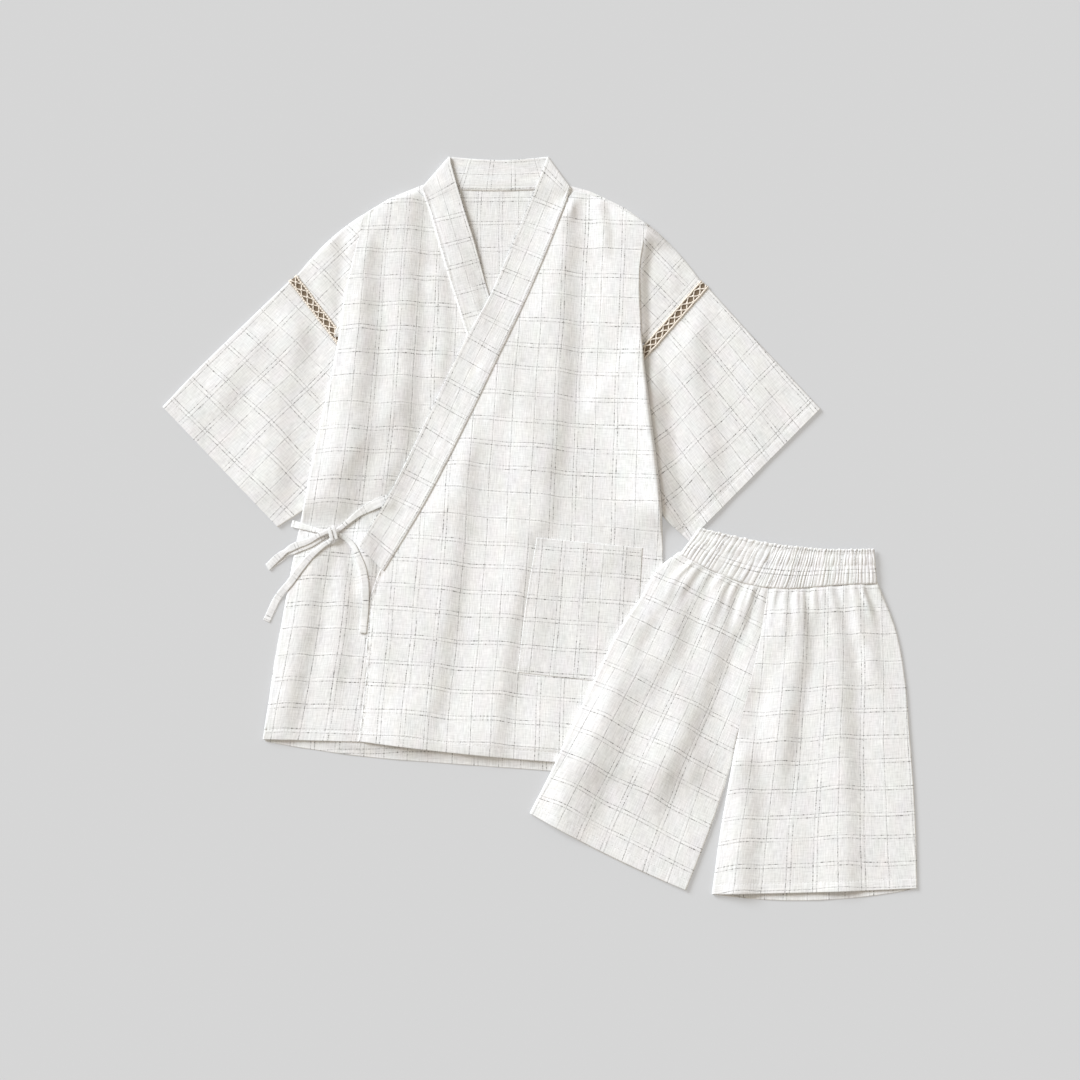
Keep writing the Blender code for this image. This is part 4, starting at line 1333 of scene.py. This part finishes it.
def one_piece(name, sheets, material=cloth, wall=CLOTH):
    """A piece of one or more sheets, each as (grid, places)."""
    mesh = Mesh()
    for grid, places in sheets:
        mesh.shell(grid, places, wall)
    made[name] = mesh.make(name + "_cloth", material, (name,))


def stitch_piece(name, lines, **how):
    mesh = Mesh()
    for line in lines:
        stitched(mesh, line, **how)
    made[name + "_stitches"] = mesh.make(name + "_stitches", sewing_thread, ())


def mixed(grid, i, j):
    """Values of a grid at places i along and j across it, counted in its steps."""
    i0, j0 = [np.minimum(at.astype(int), n - 2) for at, n in zip((i, j), grid.shape)]
    fi, fj = (i - i0)[:, None], (j - j0)[:, None]
    first = grid[i0, j0] * (1 - fj) + grid[i0, j0 + 1] * fj
    second = grid[i0 + 1, j0] * (1 - fj) + grid[i0 + 1, j0 + 1] * fj
    return first * (1 - fi) + second * fi


def lace_threads(mesh, ring, side):
    """Two zigzags of yarn that cross along the lace, a knot at each crossing, and a cord along each seam."""
    outward = normals_of(ring).transpose(1, 0, 2)
    outward = outward * np.sign(outward[-2, :, 2].mean())
    lines = to_world(ring).transpose(1, 0, 2) + outward * CLOTH / 2
    along = lengths_along(lines[:, lines.shape[1] // 2])
    start, end = LACE_BARE, along[-1] - 1.5
    s = np.arange(start, end, 0.55)
    draw = np.random.default_rng(77 + len(side))

    def on_lace(s, share, lift):
        """Points at distances s along the lace and shares across it, so far above it."""
        i = np.interp(s, along, np.arange(len(along)))
        j = np.clip(share, 0, 1) * (lines.shape[1] - 1)
        points = mixed(lines, i, j) + mixed(outward, i, j) * np.broadcast_to(lift, len(s))[:, None]
        points[:, 2] = np.maximum(points[:, 2], 1.2)
        return points

    def wander(step):
        """Random values from -1 to 1, a step apart, joined by lines."""
        places = np.arange(start - 8, end + 12, step)
        return np.interp(s, places, draw.uniform(-1, 1, len(places)))

    stray = wander(6)
    turn = 2 * math.pi * (s + 0.9 * stray) / LACE_REPEAT
    swing = np.arcsin(0.97 * np.cos(turn)) / (math.pi / 2)
    for sign in (-1, 1):
        share = 0.5 + sign * 0.40 * swing + 0.025 * np.roll(stray, 9 * sign)
        mesh.tube(on_lace(s, share, 0.45 + 0.15 * sign * np.sin(turn)), 0.66 + 0.12 * np.sin(s * 1.9 + sign))
    for share in (0.06, 0.94):
        path = on_lace(s, share + 0.03 * wander(4.5), 0.35 + 0.12 * np.sin(s * 2.3))
        mesh.tube(path, 0.92 + 0.16 * np.sin(s * 2.3 + 1))
    half = LACE_REPEAT / 2
    for crossing in np.arange(math.ceil(start / half), end / half):
        place = (crossing + 0.5) * half
        if start + 2 < place < end - 2:
            share = np.array([0.33, 0.5, 0.67]) + draw.uniform(-0.05, 0.05)
            path = on_lace(np.full(3, place), share, np.array([0.3, 0.8, 0.3]))
            mesh.tube(path, np.array([0.5, 1.05, 0.5]))


def jacket_back(board, bare_shoulders):
    """The jacket's back with its wedges to the armholes; the sleeves are laid as if it had no wedges."""
    t = row_places(BACK, BACK_CELL, last=HEM_TICKS)
    u = ticks(BACK_WIDE, BACK_CELL) / BACK_WIDE
    plan = panel_plan(BACK, t, u, shoulders)
    far = distances(plan, 0, True)
    ridge = 1.3 + 1.4 * smooth_step((plan[..., 0] - 300) / 60)  # the fronts' hems lie on it
    ridge *= smooth_step(far / 13) * (1 - smooth_step((far - 16) / 50))
    relief = unevenness(plan, 3, 0.25) + 0.1 + ridge
    back = lay(board, plan, reach=0, relief=relief)
    sheets = [(back, cloth_places(plan, GRAINS["back"], relief))]
    for side, column in (("left", 0), ("right", -1)):
        sheets.append(wedge_sheet(board, BACK, column, side, 20, 0.0))
    one_piece("jacket_back", sheets)
    bare_shoulders.add(back, CLOTH)
    for grid, _ in sheets:
        board.add(grid, CLOTH)


def sleeve_and_lace(board, bare_shoulders, side, sleeve):
    own = bare_shoulders.copy()
    t = row_places(sleeve, CELL, last=HEM_TICKS)
    u = ticks(SLEEVE_WIDE, CELL, first=FOLD_TICKS, last=FOLD_TICKS) / SLEEVE_WIDE
    ring, front, places = tube_sheet(own, sleeve, "sleeve_" + side, t, u, SLEEVE_CREASES[side], seed=31)
    one_piece("sleeve_" + side, [(ring, places)])
    stitch_piece("sleeve_" + side, [line_on(front, 0, True, HEM_WIDE)])
    board.join(own)
    own = bare_shoulders.copy()
    offsets = (SEAM + LACE_WIDE, SEAM + LACE_WIDE / 2, SEAM)
    lace = [Section(*np.concatenate(armhole_line(sleeve, offset)), 0) for offset in offsets]
    t = np.linspace(0, len(lace) - 1, 9)
    ring, _, places = tube_sheet(own, lace, "sleeve_" + side, t, u, puff=0.5)
    # The lace's brown sheet is painted shade for the inside seen between its yarns, which lie on it.
    one_piece("lace_" + side, [(ring, places)], lace_shade_sheet)
    mesh = Mesh()
    lace_threads(mesh, ring, side)
    made[f"lace_{side}_yarn"] = mesh.make(f"lace_{side}_yarn", lace_yarn, ())
    board.join(own)


def jacket_front(board, name, side, sections, creases, seed, wide):
    """A front with the wedge to its armhole. Gives the front's grid."""
    grid, places, fold = body_front(board, sections, creases, name, side, seed, wide)
    wedge = wedge_sheet(board, sections, 0, side, seed, WEDGE_TUCK, fold)
    board.add(grid, CLOTH)
    board.add(wedge[0], CLOTH)
    one_piece("jacket_front_" + name, [(grid, places), wedge])
    return grid


def pocket(board):
    """The pocket, stitched down close to its edges and across below its top hem."""
    t = row_places(POCKET, POCKET_CELL, POCKET_TICKS, POCKET_TICKS)
    u = ticks(POCKET_WIDE, POCKET_CELL, POCKET_TICKS, POCKET_TICKS) / POCKET_WIDE
    plan = panel_plan(POCKET, t, u)
    sides = np.minimum(distances(plan, 1, False), distances(plan, 1, True))
    edges = np.minimum(sides, distances(plan, 0, True))
    relief = 0.2 * smooth_step(edges / 4) + unevenness(plan, 9, 0.1, 40) * smooth_step(edges / 12)
    relief += 0.1 * smooth_step((21 - distances(plan, 0, False)) / 3)
    relief += crease_height(plan, POCKET_CREASES) * smooth_step(edges / 8)
    grid = lay(board, plan, POCKET_WALL, reach=0, bridge=0, soften=1, relief=relief - GAP, clear=False)
    one_piece("pocket", [(grid, cloth_places(plan, GRAINS["pocket"], relief))], wall=POCKET_WALL)
    board.add(grid, CLOTH)
    seams = ((1, False, 1.6), (1, True, 1.6), (0, True, 1.6), (0, False, 19.0))
    stitch_piece("pocket", [line_on(grid, *seam, POCKET_WALL) for seam in seams], radius=0.1)


def tie_piece(name, ribbons):
    """A tie or knot from its ribbons, each as (path, widths, thicknesses, start on the cloth)."""
    mesh = Mesh()
    for path, wide, thick, start in ribbons:
        ribbon(mesh, path, wide, thick, start)
    made[name] = mesh.make(name + "_cloth", cloth, (name,))


def loop_tip(out, home):
    """The turn at the tip of the bow's loop, from the tie's way out up to its way home."""
    rise = (home[0, 2] - out[-1, 2]) / 2
    beyond = unit(out[-1, :2] - out[-4, :2])
    angles = np.linspace(0, math.pi, 8)[1:-1, None]
    return out[-1] + np.concatenate([beyond * rise * np.sin(angles), rise * (1 - np.cos(angles))], axis=1)


def knot_turn(board, sign):
    """One of the two turns of cloth over the knot."""
    ways = np.array(KNOT_WAY) + KNOT_MIDDLE + sign * np.array(KNOT_SPACING)
    path = laid_path(board, ways, KNOT_WIDE, TIE_THICK, cell=1.0, bridge=3)
    bow = np.linspace(-1, 1, len(path))
    path[:, 2] -= 0.25 + 0.3 * smooth_step((abs(bow) - 0.6) / 0.4)
    return path, KNOT_WIDE - 0.9 * bow**2, np.full(len(path), TIE_THICK), 700.0 + 40 * sign


def leg(board, ground, side, sections):
    own = ground.copy()
    seam = strip_plan(WAISTBAND, np.linspace(0, len(WAISTBAND) - 1, 60), np.array([0, 1]))[:, 1]
    t = row_places(sections, CELL, first=TOP_TICKS, last=HEM_TICKS)
    u = ticks(LEG_WIDE, LEG_CELL, first=FOLD_TICKS, last=FOLD_TICKS) / LEG_WIDE
    ring, front, places = tube_sheet(
        own, sections, "leg_" + side, t, u, LEG_CREASES[side], seed=51, bridge=60, puff=0.2,
        drop=BACK_HEM_DROP[side], top=lambda x: np.interp(x, seam[:, 0], seam[:, 1]) - 2.0,
        open_to=len(sections) - 4,
    )
    one_piece("shorts_leg_" + side, [(ring, places)])
    stitch_piece("shorts_leg_" + side, [line_on(front, 0, True, HEM_WIDE)])
    board.join(own)


# The jacket: its back lies lowest, then the sleeves, the collar behind the neck, the fronts and the pocket.
board, bare_shoulders = Board(), Board()
jacket_back(board, bare_shoulders)
for side, sleeve in SLEEVES.items():
    sleeve_and_lace(board, bare_shoulders, side, sleeve)
neck = strip_sheet(board, COLLAR_BACK, start=500.0, seed=4, level=1.2, soften=12)
board.add(neck[0], BAND)
under = jacket_front(board, "under", "left", FRONT_UNDER, UNDER_CREASES, 41, UNDER_WIDE)
stitch_piece("jacket_front_under", [line_on(under, 0, True, HEM_WIDE)])
under_band = strip_sheet(board, COLLAR_UNDER, seed=5, creases=COLLAR_CREASES, level=-0.6, sunk=0.4)
board.add(under_band[0], BAND)
over = jacket_front(board, "over", "right", FRONT_OVER, OVER_CREASES, 42, OVER_WIDE)
free_edge = line_on(over, 1, False, 2.0)
bare = np.argmin(abs(free_edge[:, 1] - (BOARD_MIDDLE[1] - COLLAR_END)))
stitch_piece("jacket_front_over", [line_on(over, 0, True, HEM_WIDE), free_edge[bare:]])
pocket(board)
tie_out = laid_path(board, LOOP_OUT, TIE_WIDE, TIE_THICK)
over_band = strip_sheet(board, COLLAR_OVER, start=620.0, seed=6, level=0.9, soften=12)
board.add(over_band[0], BAND)
seams = [line_on(band[0], 1, True, 2.2, BAND) for band in (over_band, under_band, neck)]
one_piece("collar", [joined_strip([under_band, neck, over_band])], wall=BAND)
stitch_piece("collar", seams)

# The ties and their knot.
path = laid_path(board, SIDE_TIE, TIE_WIDE, TIE_THICK)
tie_piece("tie_side", [(path, *pinched(path), 0.0)])
home = laid_path(board, LOOP_BACK + OVER_TAIL[1:], TIE_WIDE, TIE_THICK)
path = np.concatenate([tie_out, loop_tip(tie_out, home), home])
tie_piece("tie_over", [(path, *pinched(path), 300.0)])
tie_piece("tie_knot", [knot_turn(board, sign) for sign in (-1, 1)])

# The shorts: the waistband's back, the legs on it, and the waistband's front over their tops.
ground = board.copy()
band_back = waistband_back(ground)
for side, sections in LEGS.items():
    leg(board, ground, side, sections)
band_front = waistband_front(board)
one_piece("shorts_waistband", [waistband_ring(band_back, band_front)])
seams = [line_on(band_front, 1, True, away) for away in (1.0, 20.0, 31.0)]
stitch_piece("shorts_waistband", seams, long=2.4, gap=1.3, radius=0.18)

# ---------------------------------------------------------------- floor, light and camera

FLOOR_REACH, FLOOR_DEEP = 4, 0.0002  # metres


def paper_floor():
    """White paper on a light table, so shadows on it are faint."""
    mesh = bpy.data.meshes.new("floor")
    around = ((-1, -1), (1, -1), (1, 1), (-1, 1))
    corners = [(x * FLOOR_REACH, y * FLOOR_REACH, -FLOOR_DEEP) for x, y in around]
    mesh.from_pydata(corners, [], [(0, 1, 2, 3)])
    paper = plain("floor", (0.34, 0.34, 0.34, 1.0), 0.95)
    shader = paper.node_tree.nodes["Principled BSDF"]
    shader.inputs["Emission Color"].default_value = (1.0, 1.0, 1.0, 1.0)
    shader.inputs["Emission Strength"].default_value = 0.31
    mesh.materials.append(paper)
    return bpy.data.objects.new("floor", mesh)


def room_light():
    world = bpy.data.worlds.new("studio")
    world.use_nodes = True
    background = world.node_tree.nodes["Background"]
    background.inputs["Color"].default_value = (1.065, 0.988, 0.885, 1.0)
    background.inputs["Strength"].default_value = 0.475
    return world


def window_light():
    sun = bpy.data.objects.new("window_light", bpy.data.lights.new("window_light", "SUN"))
    sun.data.energy = 3.75
    sun.data.angle = math.radians(28)
    sun.data.color = (0.945, 1.010, 1.098)
    sun.rotation_euler = mathutils.Vector((-0.687, 0.555, 0.469)).to_track_quat("Z", "Y").to_euler()
    return sun


def camera_above():
    camera = bpy.data.objects.new("camera", bpy.data.cameras.new("camera"))
    camera.data.lens = 200
    camera.data.sensor_width = 36
    camera.location = (
        (PICTURE_MIDDLE[0] - BOARD_MIDDLE[0]) * MM,
        (BOARD_MIDDLE[1] - PICTURE_MIDDLE[1]) * MM,
        PICTURE_SIDE * MM * camera.data.lens / camera.data.sensor_width,
    )
    return camera


floor, sun, camera = paper_floor(), window_light(), camera_above()
for thing in (floor, sun, camera):
    bpy.context.scene.collection.objects.link(thing)
bpy.context.scene.world = room_light()
bpy.context.scene.camera = camera
bpy.context.scene.view_settings.view_transform = "Standard"

# ---------------------------------------------------------------- cloth facts

# Cut of each sheet: width and length in metres, area where it isn't a rectangle, how it is held, and on what.
CUTS = {
    "jacket_back": (0.450, 0.600, 0.212, "laid", ()),
    "sleeve_left": (0.345, 0.185, 0.0590, "laid", ()),
    "sleeve_right": (0.345, 0.185, 0.0590, "laid", ()),
    "lace_left": (0.0105, 0.330, None, "laid", ()),
    "lace_right": (0.0105, 0.330, None, "laid", ()),
    "jacket_front_under": (0.375, 0.580, 0.137, "laid", ("jacket_back",)),
    "jacket_front_over": (0.365, 0.600, 0.135, "laid", ("jacket_front_under",)),
    "pocket": (0.110, 0.140, None, "laid", ("jacket_front_over",)),
    "collar": (0.033, 1.100, None, "folded", ("jacket_front_under", "jacket_front_over")),
    "tie_side": (0.015, 0.157, None, "laid", ("jacket_front_under",)),
    "tie_over": (0.015, 0.334, None, "laid", ("jacket_front_under",)),
    "shorts_leg_left": (0.385, 0.330, 0.098, "gathered", ("jacket_front_over",)),
    "shorts_leg_right": (0.400, 0.330, 0.110, "gathered", ()),
    "shorts_waistband": (0.520, 0.038, None, "gathered", ("shorts_leg_left", "shorts_leg_right")),
}
for name, (wide, long, area, held, below) in CUTS.items():
    with_it = [made[other] for other in made if other.startswith(name) and other != name]
    if name == "tie_over":
        with_it.append(made["tie_knot"])
